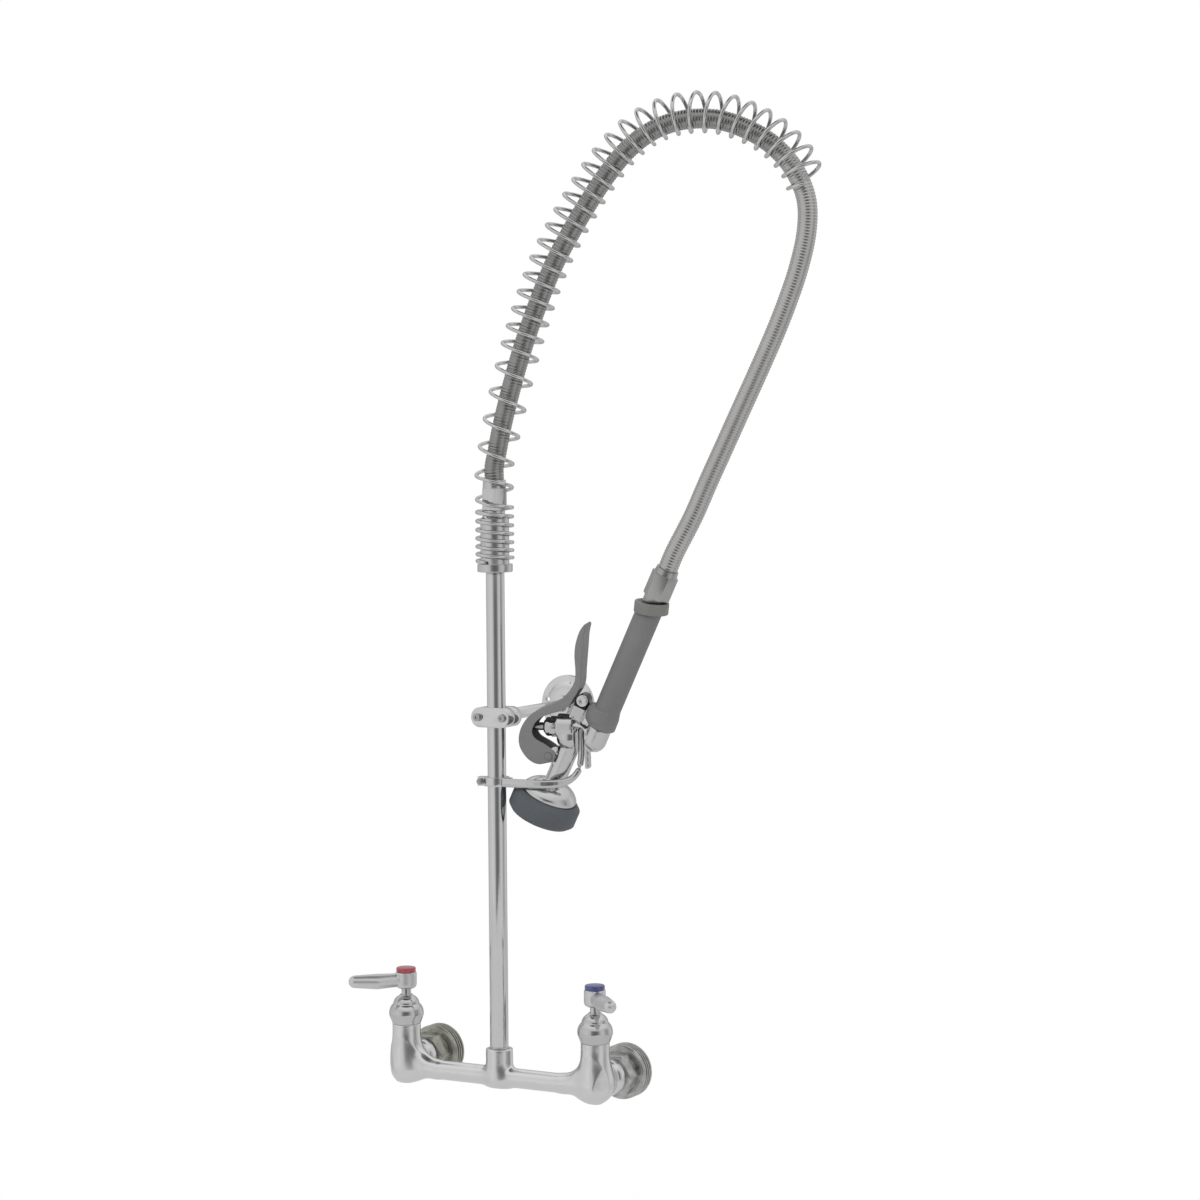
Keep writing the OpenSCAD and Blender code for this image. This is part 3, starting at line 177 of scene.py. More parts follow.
def catmull_rom(points, steps):
    """Points on the smooth curve through these points, steps for each stretch."""
    points = np.array(points, float)
    knots = np.vstack([2 * points[0] - points[1], points, 2 * points[-1] - points[-2]])
    curve = []
    for a, b, c, d in zip(knots[:-3], knots[1:-2], knots[2:-1], knots[3:]):
        for t in np.arange(steps) / steps:
            curve.append(0.5 * (2 * b + (c - a) * t + (2 * a - 5 * b + 4 * c - d) * t * t
                                + (3 * b - a - 3 * c + d) * t ** 3))
    return np.array(curve + [points[-1]])


route = np.array([(0, 0, hose_foot), (0, 0, hose_foot + STRAIGHT_FOOT), *ROUTE,
                  from_head(FERRULE_OUT, 0, FERRULE_TOP + STRAIGHT_END),
                  from_head(FERRULE_OUT, 0, FERRULE_TOP)])
centre_line = catmull_rom(route, 6)
stretches = np.linalg.norm(np.diff(centre_line, axis=0), axis=1)
distances = np.concatenate([[0], np.cumsum(stretches)])
hose_length = distances[-1]


def along(s):
    return np.array([np.interp(s, distances, centre_line[:, k]) for k in range(3)])


def unit(vector):
    vector = np.asarray(vector, float)
    return vector / np.linalg.norm(vector)


def heading(s, reach=5, end=0.01):
    """The hose's direction, from the places within reach on both sides."""
    if s <= end:
        return np.array([0.0, 0.0, 1.0])
    if s >= hose_length - end:
        return unit(route[-1] - route[-2])
    return unit(along(min(hose_length, s + reach)) - along(max(0, s - reach)))


print("hose length in mm:", round(float(hose_length), 1))

# %% [markdown]
# ## From numbers to meshes
#
# A piece is a list of points and the faces that join them. The points are worked out in millimetres
# in the frame where the piece is simple, and moved to their place at the end, so that every object
# itself stays at the origin. The other helpers do what most pieces need afterwards.

# %% Mesh helpers
def new_piece(name, points, faces, place=Matrix.Identity(4)):
    mesh = bpy.data.meshes.new(name)
    mesh.from_pydata([tuple(np.array(p, float) * MM) for p in points], [], faces)
    mesh.transform(place)
    mesh.validate()
    piece = bpy.data.objects.new(name, mesh)
    bpy.context.scene.collection.objects.link(piece)
    return piece


def shade_smooth(piece, sharp_degrees=None):
    """Smooth shading, with edges sharper than the angle kept crisp."""
    piece.data.polygons.foreach_set("use_smooth", [True] * len(piece.data.polygons))
    if sharp_degrees is not None:
        piece.data.set_sharp_from_angle(angle=math.radians(sharp_degrees))
    return piece


def face_outwards(piece):
    shape = bmesh.new()
    shape.from_mesh(piece.data)
    bmesh.ops.remove_doubles(shape, verts=shape.verts, dist=1e-7)
    bmesh.ops.recalc_face_normals(shape, faces=shape.faces)
    shape.to_mesh(piece.data)
    shape.free()
    return piece


def settled(piece):
    """The piece with its modifiers worked into a plain mesh."""
    depsgraph = bpy.context.evaluated_depsgraph_get()
    mesh = bpy.data.meshes.new_from_object(piece.evaluated_get(depsgraph))
    piece.modifiers.clear()
    old = piece.data
    piece.data = mesh
    bpy.data.meshes.remove(old)
    return piece


def melted(piece, cell, passes):
    """The piece remeshed in even cells, its corners melted by averaging."""
    remesh = piece.modifiers.new("even cells", "REMESH")
    remesh.mode, remesh.voxel_size = "VOXEL", cell * MM
    melt = piece.modifiers.new("melted corners", "SMOOTH")
    melt.factor, melt.iterations = 0.5, passes
    return shade_smooth(settled(piece))


# %% [markdown]
# ## Writing node trees as sums
#
# A finish is a small sum: so much cloud, a little grain, less on the worn spots. So is the swelling of
# a rib. Node editors draw such a sum as boxes, which are slow to read in a script. The first class
# below wraps one number of a node tree, and Python's own operators add its Math nodes, so that a tree
# reads like the sum it is. The second class holds a tree and makes every other node, from its type,
# its sockets and its settings.

# %% The sum's two classes
class Value:
    """One number of a node tree, which varies over the piece."""

    def __init__(self, tree, socket):
        self.tree, self.socket = tree, socket

    def op(self, operation, *others):
        values = dict(enumerate((self, *others)))
        node = self.tree.node("ShaderNodeMath", values, operation=operation)
        return Value(self.tree, node.outputs[0])

    def __add__(self, other):
        return self.op("ADD", other)

    def __sub__(self, other):
        return self.op("SUBTRACT", other)

    def __mul__(self, other):
        return self.op("MULTIPLY", other)

    __radd__, __rmul__ = __add__, __mul__

    def __rsub__(self, other):
        return self * -1 + other

    def __truediv__(self, other):
        return self.op("DIVIDE", other)

    def __pow__(self, other):
        return self.op("POWER", other)

    def __abs__(self):
        return self.op("ABSOLUTE")

    def cosine(self):
        return self.op("COSINE")

    def larger(self, other, melt):
        """The larger of two, with the crease between them melted over this width."""
        return self.op("SMOOTH_MAX", other, melt)

    def smaller(self, other, melt):
        return self.op("SMOOTH_MIN", other, melt)


class NodeTree:
    """A node tree that is written node by node."""

    def __init__(self, tree):
        self.tree = tree

    def node(self, kind, sockets=None, **settings):
        node = self.tree.nodes.new(kind)
        for key, value in settings.items():
            if key == "stops":
                ramp = node.color_ramp.elements
                for stop in value[len(ramp):]:
                    ramp.new(stop[0])
                for element, (position, colour) in zip(ramp, value):
                    element.position, element.color = position, (*colour, 1)
            else:
                setattr(node, key, value)
        for key, value in (sockets or {}).items():
            self.feed(node.inputs[key], value)
        return node

    def mix(self, factor, low, high):
        """From one colour to the other as the factor goes from 0 to 1."""
        node = self.node("ShaderNodeMix", {0: factor, 6: low, 7: high}, data_type="RGBA")
        return node.outputs[2]

    def between(self, value, low, high, **settings):
        """0 where the value is low, 1 where it is high."""
        reach = self.node("ShaderNodeMapRange", {
            "Value": value, "From Min": low, "From Max": high}, **settings)
        return Value(self, reach.outputs["Result"])

    def parts(self, vector):
        """The three numbers of a vector."""
        split = self.node("ShaderNodeSeparateXYZ", {0: vector})
        return [Value(self, part) for part in split.outputs]

    def feed(self, socket, value):
        """Link a value or a socket to this one, or set it."""
        if isinstance(value, Value):
            value = value.socket
        if isinstance(value, bpy.types.NodeSocket):
            self.tree.links.new(value, socket)
        else:
            socket.default_value = value


def grey(level):
    return (level, level, level, 1)


# %% [markdown]
# ## Finishes
#
# Every finish is a Principled shader whose colour, roughness and bump vary a little over the piece, at
# the real size of the marks. All of them read Object coordinates. Those are metres here, because every
# piece stands at the origin, so a cloud of 9 mm is 9 mm wide on any piece.

# %% The finish's class
class Finish(NodeTree):
    """A material and the nodes that it is made of."""

    def __init__(self, name):
        self.material = bpy.data.materials.new(name)
        self.material.use_nodes = True
        super().__init__(self.material.node_tree)
        self.shader = self.tree.nodes["Principled BSDF"]
        self.place = self.node("ShaderNodeTexCoord").outputs["Object"]

    def cloud(self, size_mm, detail=2.0, roughness=0.5, stretch=None):
        """Soft noise whose patches are about size_mm wide, from 0 to 1."""
        where = self.place
        if stretch:
            mapping = self.node("ShaderNodeMapping", {"Vector": where, "Scale": stretch})
            where = mapping.outputs["Vector"]
        noise = self.node("ShaderNodeTexNoise", {
            "Vector": where, "Scale": 1 / (size_mm * MM), "Detail": detail, "Roughness": roughness})
        return Value(self, noise.outputs[0])

    def spots(self, size_mm):
        """Cells of about size_mm, 0 at the middle of each and growing outwards."""
        cells = self.node("ShaderNodeTexVoronoi", {
            "Vector": self.place, "Scale": 1 / (size_mm * MM)})
        return Value(self, cells.outputs["Distance"])

    def colours(self, value, stops):
        return self.node("ShaderNodeValToRGB", {"Fac": value}, stops=stops).outputs["Color"]

    def bump(self, height, depth_mm):
        bump = self.node("ShaderNodeBump", {"Height": height, "Distance": depth_mm * MM})
        return bump.outputs["Normal"]

    def set(self, **sockets):
        for name, value in sockets.items():
            self.feed(self.shader.inputs[name.replace("_", " ")], value)
        return self.material


def tone(*levels):
    """A colour from the 0 to 255 levels of a paint chart, as light."""
    return tuple(((v / 255 + 0.055) / 1.055) ** 2.4 if v > 10 else v / 255 / 12.92 for v in levels)


def shades(colour, dark, light):
    """The colour a little darker and a little lighter, as the two ends of a ramp."""
    return [(0.0, tuple(c * dark for c in colour)), (1.0, tuple(min(1, c * light) for c in colour))]


# %% [markdown]
# ## Chrome
#
# Chrome plate is a mirror with a cool tint, and what makes it believable is how little is wrong with
# it: the polish is a touch duller in patches, hard water leaves faint spots, and a casting under the
# plate is never quite flat. One recipe makes the six chromes here. They differ in the waves that bend
# the reflections, in dullness and in lightness. The handset's valve also gets painted shade: a nearly
# black square round its screw, standing in for the shadowed recess there.

# %% Chrome finishes
def chrome_finish(name, wave_mm, wave_depth, dullness, level, painted_shade_square=None):
    finish = Finish(name)
    patches = finish.cloud(24, 3)
    water = finish.between(finish.spots(2.6), 0.10, 0.02) * finish.between(
        finish.cloud(11, 2), 0.56, 0.66)
    waves = finish.cloud(wave_mm, 1)
    tint = finish.colours(patches, shades((level, level, level * 1.005), 0.95, 1.05))
    if painted_shade_square:
        # painted shade: a dark square, as wide along the frame's x as along its z, with a soft rim,
        # for the shadowed recess round the screw
        middle, frame, half_mm, rim_mm = painted_shade_square
        reach = []
        for axis in (frame.col[0].to_3d(), frame.col[2].to_3d()):
            share = finish.node("ShaderNodeVectorMath", {0: finish.place, 1: axis},
                                operation="DOT_PRODUCT")
            reach.append(abs(Value(finish, share.outputs["Value"]) - axis.dot(middle)))
        inside = finish.between(reach[0].larger(reach[1], 0), (half_mm + rim_mm) * MM, half_mm * MM)
        tint = finish.mix(inside, tint, grey(0.03))
    return finish.set(Base_Color=tint, Metallic=1.0,
                      Roughness=dullness + patches * 0.06 + water * 0.10,
                      Normal=finish.bump(waves + water * 0.02, wave_depth))


turned_chrome = chrome_finish("turned chrome", 30, 0.02, 0.08, 0.66)
cast_chrome = chrome_finish("cast chrome", 9, 0.16, 0.18, 0.71)
deep_chrome = chrome_finish("deep chrome", 12, 0.12, 0.08, 0.58)
screw_points = [vertex.co for vertex in nodes["body_screw"].data.vertices]
screw_middle = sum(screw_points, Vector()) / len(screw_points)
# painted shade for the valve: a nearly black square round the body screw
screw_painted_shade = (screw_middle, head_frame, 7.2, 0.4)
valve_chrome = chrome_finish("valve chrome", 9, 0.16, 0.08, 0.60, screw_painted_shade)
satin_chrome = chrome_finish("satin chrome", 6, 0.08, 0.36, 0.68)
wire_chrome = chrome_finish("wire chrome", 14, 0.02, 0.04, 0.60)

# %% [markdown]
# ## Satin steel, dull nickel and brass
#
# Screws, the stem, the ferrule and the hose are stainless steel that was never polished. Their grain
# runs round or along the piece, which a noise stretched in one direction shows. The wall flanges and
# their nuts are rough plated, with a mottled skin that is darker where the plating is thin, yellowish
# on the hot side and grey on the cold; the hot side's copy is also darker, as painted shade. Inside
# the spring the hose is given a darker colour, a painted reflection and shade of the dark wires round
# it.
# Brass is only on the small pieces inside.

# %% Duller metals
def brushed_finish(name, colour, grain, dullness, painted_shade_slope=None):
    finish = Finish(name)
    lines = finish.cloud(2.2, 2, 0.6, stretch=grain)
    patches = finish.cloud(16, 3)
    tint = finish.colours(patches * 0.5 + lines * 0.5, shades(colour, 0.82, 1.14))
    if painted_shade_slope:
        # painted reflection and shade of the spring's wires: darker to the left of and above a sloping
        # line, where x - z / 2 is below these metres
        x, _, z = finish.parts(finish.place)
        free = finish.between(x - z * 0.5, *painted_shade_slope)
        # the darker colour is a painted reflection and shade of the spring's dark wires on the hose
        painted_spring_shade = finish.colours(patches * 0.5 + lines * 0.5, shades(colour, 0.52, 0.78))
        tint = finish.mix(free, painted_spring_shade, tint)
    return finish.set(Base_Color=tint, Metallic=1.0, Roughness=dullness + lines * 0.14,
                      Normal=finish.bump(lines, 0.02))


satin_steel = brushed_finish("satin steel", (0.44, 0.44, 0.43), (1, 1, 9), 0.20)
# the hose's painted reflection and shade ends along this slope, where the hose leaves the spring
SPRING_SHADE_SLOPE = (-0.165, -0.145)     # where the hose leaves the spring
hose_steel = brushed_finish("hose steel", (0.50, 0.495, 0.488), (3, 3, 3), 0.15, SPRING_SHADE_SLOPE)
old_brass = brushed_finish("brass", (0.58, 0.41, 0.17), (1, 1, 6), 0.28)


def nickel_finish(name, colour):
    finish = Finish(name)
    mottle, grain = finish.cloud(7, 4, 0.6), finish.cloud(0.9, 2)
    thickness = ((0.25, 0.62), (0.55, 1.0), (0.80, 1.3))
    tint = finish.colours(mottle, [(place, tuple(c * level for c in colour))
                                   for place, level in thickness])
    return finish.set(Base_Color=tint, Metallic=1.0, Roughness=0.22 + mottle * 0.18,
                      Normal=finish.bump(mottle * 0.6 + grain * 0.4, 0.06))


# the hot side's darker copy is painted shade for the flange and nut in shadow; the cold side's lighter
# copy is the lit one
shaded_yellow_nickel = nickel_finish("yellowed nickel", (0.41, 0.41, 0.365))
lit_grey_nickel = nickel_finish("grey nickel", (0.50, 0.50, 0.49))

# %% [markdown]
# ## Rubber, plastic and coating
#
# The grip and the ring are moulded plastic with a fine matt skin, the bumper is a harder blue-grey
# rubber that scuffs pale on its rim, and the lever is steel under a thick grey coating with the
# slight pebble that such coatings have. One recipe serves them all: a colour that drifts a little, a
# pebble of a chosen size in the bump, and scuffs that change the colour and the gloss together.

# %% Moulded and coated finishes
def moulded_finish(name, colour, pebble_mm, pebble_depth, dullness, scuff=0.25):
    finish = Finish(name)
    drift = finish.cloud(30, 3)
    pebble = finish.cloud(pebble_mm, 2, 0.6)
    scuffs = finish.between(finish.cloud(5, 4, 0.7), 0.58, 0.72)
    tint = finish.colours(drift * 0.7 + pebble * 0.3 + scuffs * scuff,
                          shades(colour, 0.86, 1.22))
    return finish.set(Base_Color=tint, Roughness=dullness + scuffs * 0.08 - pebble * 0.06,
                      Normal=finish.bump(pebble, pebble_depth))


grip_plastic = moulded_finish("grip plastic", tone(110, 110, 110), 0.8, 0.05, 0.58)
ring_plastic = moulded_finish("ring plastic", tone(114, 114, 111), 0.6, 0.04, 0.50)
lever_coating = moulded_finish("lever coating", tone(116, 116, 116), 1.6, 0.06, 0.42)
bumper_rubber = moulded_finish("bumper rubber", tone(78, 83, 88), 0.7, 0.05, 0.62, 0.45)
washer_rubber = moulded_finish("washer rubber", tone(34, 34, 36), 0.6, 0.03, 0.70)


def button_finish(name, colour):
    finish = Finish(name)
    drift, dust = finish.cloud(8, 2), finish.between(finish.cloud(0.7, 2), 0.55, 0.75)
    tint = finish.colours(drift + dust * 0.2, shades(colour, 0.85, 1.2))
    return finish.set(Base_Color=tint, Roughness=0.20 + dust * 0.2, Coat_Weight=0.5,
                      Normal=finish.bump(drift, 0.02))


red_button = button_finish("red button", tone(158, 62, 74))
blue_button = button_finish("blue button", tone(66, 70, 126))

# %% [markdown]
# ## The hose
#
# The hose is a flexible stainless steel tube: a strip wound and folded so that it bends, which leaves
# fine ribs all along it. A bump in the material could fake the ribs, but not their outline, so each
# rib is real. Geometry Nodes draw them: Mesh to Curve makes the route a curve, Resample Curve gives
# it a few rings for each rib, and Curve to Mesh scales each ring by the cosine of its number. A
# second, narrower tube is the bore, and both ends are bridged. The hose crosses from the faucet to
# the handset.

# %% Geometry Nodes: the tree's inputs and its end
class ShapeTree(NodeTree):
    """A Geometry Nodes tree whose inputs have names."""

    def __init__(self, name, inputs):
        super().__init__(bpy.data.node_groups.new(name, "GeometryNodeTree"))
        self.ids = {}
        for label, kind in inputs.items():
            socket = self.tree.interface.new_socket(name=label, in_out="INPUT", socket_type=kind)
            self.ids[label] = socket.identifier
        self.tree.interface.new_socket(name="Shape", in_out="OUTPUT",
                                       socket_type="NodeSocketGeometry")
        self.given = self.node("NodeGroupInput").outputs

    def tube(self, curve, radius, sides, scale=1.0, caps=False):
        circle = self.node("GeometryNodeCurvePrimitiveCircle", {
            "Radius": radius, "Resolution": sides})
        sweep = self.node("GeometryNodeCurveToMesh", {
            "Curve": curve, "Profile Curve": circle.outputs["Curve"], "Scale": scale,
            "Fill Caps": caps})
        return sweep.outputs["Mesh"]

    def curve(self, count=None):
        """The given line as a curve, with its own points or with this many even ones."""
        curve = self.node("GeometryNodeMeshToCurve", {"Mesh": self.given["Line"]}).outputs[0]
        if count is None:
            return curve
        return self.node("GeometryNodeResampleCurve", {"Curve": curve, "Count": count},
                         mode="COUNT").outputs[0]

    def end(self, shape):
        real = self.node("GeometryNodeRealizeInstances", {"Geometry": shape})
        finish = self.node("GeometryNodeSetMaterial", {
            "Geometry": real.outputs["Geometry"], "Material": self.given["Finish"]})
        self.node("NodeGroupOutput", {"Shape": finish.outputs["Geometry"]})

    def shape(self, piece, **values):
        """Run the tree on the piece, and keep its result as a plain mesh."""
        modifier = piece.modifiers.new(self.tree.name, "NODES")
        modifier.node_group = self.tree
        for label, value in values.items():
            modifier[self.ids[label.replace("_", " ")]] = value
        return settled(piece)


LENGTH, COUNT, PLACE = "NodeSocketFloat", "NodeSocketInt", "NodeSocketVector"
SHAPE, FINISH = "NodeSocketGeometry", "NodeSocketMaterial"


def line_piece(name, line, place):
    """A piece that is only a line through these points, for a tree to dress."""
    piece = new_piece(name, line, [], place)
    piece.data.edges.add(len(line) - 1)
    ends = [k for i in range(len(line) - 1) for k in (i, i + 1)]
    piece.data.edges.foreach_set("vertices", ends)
    return piece


# %% Geometry Nodes: a ribbed tube
def ribbed_tube_tree():
    tree = ShapeTree("ribbed tube along a line", {
        "Line": SHAPE, "Radius": LENGTH, "Bore Radius": LENGTH, "Rib Depth": LENGTH,
        "Ribs": COUNT, "Rings Per Rib": COUNT, "Sides": COUNT, "Bore Rings": COUNT,
        "Finish": FINISH})
    given = {label: Value(tree, tree.given[label])
             for label in ("Radius", "Rib Depth", "Ribs", "Rings Per Rib")}
    rings = given["Ribs"] * given["Rings Per Rib"] + 1
    number = Value(tree, tree.node("GeometryNodeInputIndex").outputs[0])
    groove = 0.5 + 0.5 * (number * (2 * math.pi) / given["Rings Per Rib"]).cosine()
    scale = 1 - groove ** 2 * given["Rib Depth"] / given["Radius"]
    wall = tree.tube(tree.curve(rings), tree.given["Radius"], tree.given["Sides"], scale)
    bore = tree.tube(tree.curve(tree.given["Bore Rings"]), tree.given["Bore Radius"],
                     tree.given["Sides"])
    both = tree.node("GeometryNodeJoinGeometry")
    for shape in (wall, bore):
        tree.tree.links.new(shape, both.inputs[0])
    tree.end(both.outputs[0])
    return tree


# %% The ribbed hose
RIBS, RIB_DEEP = 330, 0.42


def bridge_ends(piece):
    """Close each end of a tube in a tube with a ring of faces."""
    shape = bmesh.new()
    shape.from_mesh(piece.data)
    open_edges = [edge for edge in shape.edges if edge.is_boundary]
    start = open_edges[0].verts[0].co.copy()
    reach = 2 * HOSE_D * MM
    near = [edge for edge in open_edges if (edge.verts[0].co - start).length < reach]
    far = [edge for edge in open_edges if (edge.verts[0].co - start).length >= reach]
    for loops in (near, far):
        bmesh.ops.bridge_loops(shape, edges=loops)
    shape.to_mesh(piece.data)
    shape.free()
    return piece


hose = line_piece("ribbed_hose", centre_line, arch_frame)
hose = ribbed_tube_tree().shape(
    hose, Radius=HOSE_D / 2 * MM, Bore_Radius=HOSE_BORE / 2 * MM, Rib_Depth=RIB_DEEP * MM,
    Ribs=RIBS, Rings_Per_Rib=5, Sides=24, Bore_Rings=120, Finish=hose_steel)
shade_smooth(face_outwards(bridge_ends(hose)), 60)
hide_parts("hose")

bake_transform(hose)
print("hose ribs:", RIBS, "faces:", len(hose.data.polygons))

# %% [markdown]
# ## The spring
#
# The spring is one wire of polished steel. Seven turns lie close on their seat, six open out, and the
# rest ride over the arch, leaning back where it rises. Its line is worked out turn by turn here, and
# the wire round it is left to Geometry Nodes. The tree's inputs carry the wire's radius and its number
# of sides, so the same tree could draw any wire.

# %% Geometry Nodes: a wire along a line
def wire_tree():
    tree = ShapeTree("wire along a line", {
        "Line": SHAPE, "Wire Radius": LENGTH, "Wire Sides": COUNT, "Finish": FINISH})
    tree.end(tree.tube(tree.curve(), tree.given["Wire Radius"], tree.given["Wire Sides"],
                       caps=True))
    return tree


# %% The spring's line
SPRING_OD, SEAT_OD, WIRE_D = 38.5, 36.0, 3.5
CLOSE_TURNS, OPEN_TURNS, ARCH_TURNS = 7, 6, 27
TURNS = CLOSE_TURNS + OPEN_TURNS + ARCH_TURNS
OPEN_END, SPRING_END = 122.0, 521.0         # distances along the hose
CLOSE_RISE, CLOSE_GROWTH = 56.0, 1.12       # the close turns' height, and how they open upwards
SEAT_GAP, HOSE_PLAY, END_PLAY = 0.3, 0.8, 2.2
SHIFT_START, SHIFT_RUN = 40, 240            # where the hose comes to lie on the coils' inside
LEAN, CROWDING, WIRE_START = 9.0, 0.1, math.radians(252)
PIPE_IN_SEAT, SEAT_COLLAR = 7.8, 7.4
POINTS_PER_TURN = 30
collar_top = riser_high.z / MM - PIPE_IN_SEAT + SEAT_COLLAR
close_end = collar_top + CLOSE_RISE


def smooth(t):
    t = min(1.0, max(0.0, t))
    return t * t * (3 - 2 * t)


def lerp(a, b, t):
    return a + (b - a) * t


def steepness(direction):
    """Degrees of a direction from upright, along the arch."""
    return math.degrees(math.atan2(direction[0], direction[2]))


def lean_at(direction):
    steep = steepness(direction)
    return -LEAN * math.sin(math.radians(2 * steep)) if 0 < steep < 90 else 0.0


def coil_offset(direction):
    """How far the coils' centre stands outside the hose's."""
    return ((SPRING_OD - WIRE_D) / 2 * math.cos(math.radians(lean_at(direction)))
            - (WIRE_D + HOSE_D) / 2 - HOSE_PLAY)


def turn_distance(n):
    """Where turn n is along the hose, for a turn above the close ones."""
    if n < CLOSE_TURNS + OPEN_TURNS:
        return lerp(0, OPEN_END, (n - CLOSE_TURNS) / OPEN_TURNS)
    part = (n - CLOSE_TURNS - OPEN_TURNS) / ARCH_TURNS
    return lerp(OPEN_END, SPRING_END, part + CROWDING * part * (1 - part))


def turn_centre(n):
    if n < CLOSE_TURNS:
        return np.array([0, 0, collar_top + WIRE_D / 2 + SEAT_GAP
                         + (CLOSE_RISE - WIRE_D) * (n / CLOSE_TURNS) ** CLOSE_GROWTH])
    s = turn_distance(n) - (hose_foot - close_end) * (1 - smooth((n - CLOSE_TURNS) / OPEN_TURNS))
    if s < 0:
        return np.array([0, 0, hose_foot + s])
    way = heading(s)
    outside = unit([-way[2], 0, way[0]])
    return along(s) + coil_offset(way) * smooth((s - SHIFT_START) / SHIFT_RUN) * outside


def wire_point(n):
    way = unit(turn_centre(min(TURNS, n + 0.2)) - turn_centre(max(0, n - 0.2)))
    tilt = math.radians(steepness(way) + lean_at(way))
    side = np.array([math.cos(tilt), 0, -math.sin(tilt)])
    closing = smooth((n - TURNS + 1) * 1.1)
    draw_in = coil_offset(way) * closing * np.array([way[2], 0, -way[0]])
    seat_r, arch_r = (SEAT_OD - WIRE_D) / 2, (SPRING_OD - WIRE_D) / 2
    radius = lerp(lerp(seat_r, arch_r, smooth((n - CLOSE_TURNS) / 5)),
                  (HOSE_D + WIRE_D) / 2 + END_PLAY, closing)
    turn = WIRE_START - 2 * math.pi * n
    return (turn_centre(n) + draw_in
            + radius * (math.cos(turn) * side + math.sin(turn) * np.array([0, 1, 0])))


spring_line = [wire_point(i / POINTS_PER_TURN) for i in range(TURNS * POINTS_PER_TURN + 1)]
spring = wire_tree().shape(line_piece("coil_spring", spring_line, arch_frame),
                           Wire_Radius=WIRE_D / 2 * MM, Wire_Sides=12, Finish=wire_chrome)
shade_smooth(face_outwards(spring), 60)
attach(spring, "body")
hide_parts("spring")
print("spring turns:", TURNS, "faces:", len(spring.data.polygons))

# %% [markdown]
# ## Castings
#
# The body, the handset's valve body, the handles and the hook are cast and polished, so no edge on
# them is sharp and every junction has a fillet. Filleting a dozen crossing shapes edge by edge is slow
# and fragile. Instead each solid's copy is remeshed into small even cells and its points are averaged
# with their neighbours a few times: sharp corners melt and the inner corners fill, as they do under a
# polisher's wheel. The cell size and the number of passes set how round the casting gets.

# %% Rounded castings from the solids
def casting(name, node, cell, passes):
    source = nodes[node]
    piece = bpy.data.objects.new(name, source.data.copy())
    bpy.context.scene.collection.objects.link(piece)
    melted(face_outwards(piece), cell, passes)
    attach(piece, source["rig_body"])
    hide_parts(node)
    print(name, "faces:", len(piece.data.polygons))
    return piece


cast_valve = casting("cast_valve", "valve_body", 0.6, 8)
hot_lever = casting("hot_lever_handle", "hot_handle", 0.5, 6)
cold_lever = casting("cold_lever_handle", "cold_handle", 0.5, 6)
hook_finger = casting("hook_finger", "finger_hook", 0.45, 10)

# %% [markdown]
# ## The mixing body
#
# The body is the one casting whose junctions make its shape: bar, posts, arms and collar flow into
# each other in fillets as wide as the posts. Melting corners can't grow such fillets. A field can:
# every place in a block of space gets its distance from each simple shape, a smooth minimum joins the
# shapes with a fillet of a chosen width, and a smooth maximum rounds an edge. The Volume Cube node
# fills the block with that one sum, and Volume to Mesh draws the skin where it is zero. In the sum
# below, the last number of each smaller or larger is its width in millimetres.

# %% Geometry Nodes: a casting as a field
class CastTree(ShapeTree):
    """A casting drawn as a sum of shapes; its places are in millimetres."""

    def __init__(self, name):
        super().__init__(name, {"Line": SHAPE, "Low": PLACE, "High": PLACE, "Across": COUNT,
                                "Deep": COUNT, "Tall": COUNT, "Finish": FINISH})
        place = self.node("GeometryNodeInputPosition").outputs[0]
        self.x, self.y, self.z = (part / MM for part in self.parts(place))

    def rod(self, across, deep, length, radius, edge):
        """Distance from a round bar: two coordinates with its middle, and one with its ends."""
        (a, a_mid), (b, b_mid), (c, low, high) = across, deep, length
        round_wall = ((a - a_mid) ** 2 + (b - b_mid) ** 2) ** 0.5 - radius
        ends = abs(c - (low + high) / 2) - (high - low) / 2
        return round_wall.larger(ends, edge)

    def cast(self, distance):
        given = self.given
        volume = self.node("GeometryNodeVolumeCube", {
            "Density": 0.5 - distance / 4, "Min": given["Low"], "Max": given["High"],
            "Resolution X": given["Across"], "Resolution Y": given["Deep"],
            "Resolution Z": given["Tall"]})
        skin = self.node("GeometryNodeVolumeToMesh", {
            "Volume": volume.outputs[0], "Threshold": 0.5})
        self.end(skin.outputs[0])


# %% The mixing body's field
POST_X, BODY_Y, BAR_Z = 101.6, riser_foot.y / MM, -4.7
POST_TOP, COLLAR_TOP, BOSS_START, BOSS_END = 36.5, 22.0, 34.1, 43.6
POST_R, FOOT_R, ARM_R, BOSS_R, COLLAR_R = 13.3, 17.6, 12.4, 17, 12.5
CHAMBER_R, INLET_R, SOCKET_R, SOCKET_DEEP = 10.9, 7, 8.7, 8
BAR_R, SWEEP_R, SWEEP_BAR_R = 9.0, 38.0, 8.8     # a sweep is the bend from a post into the bar


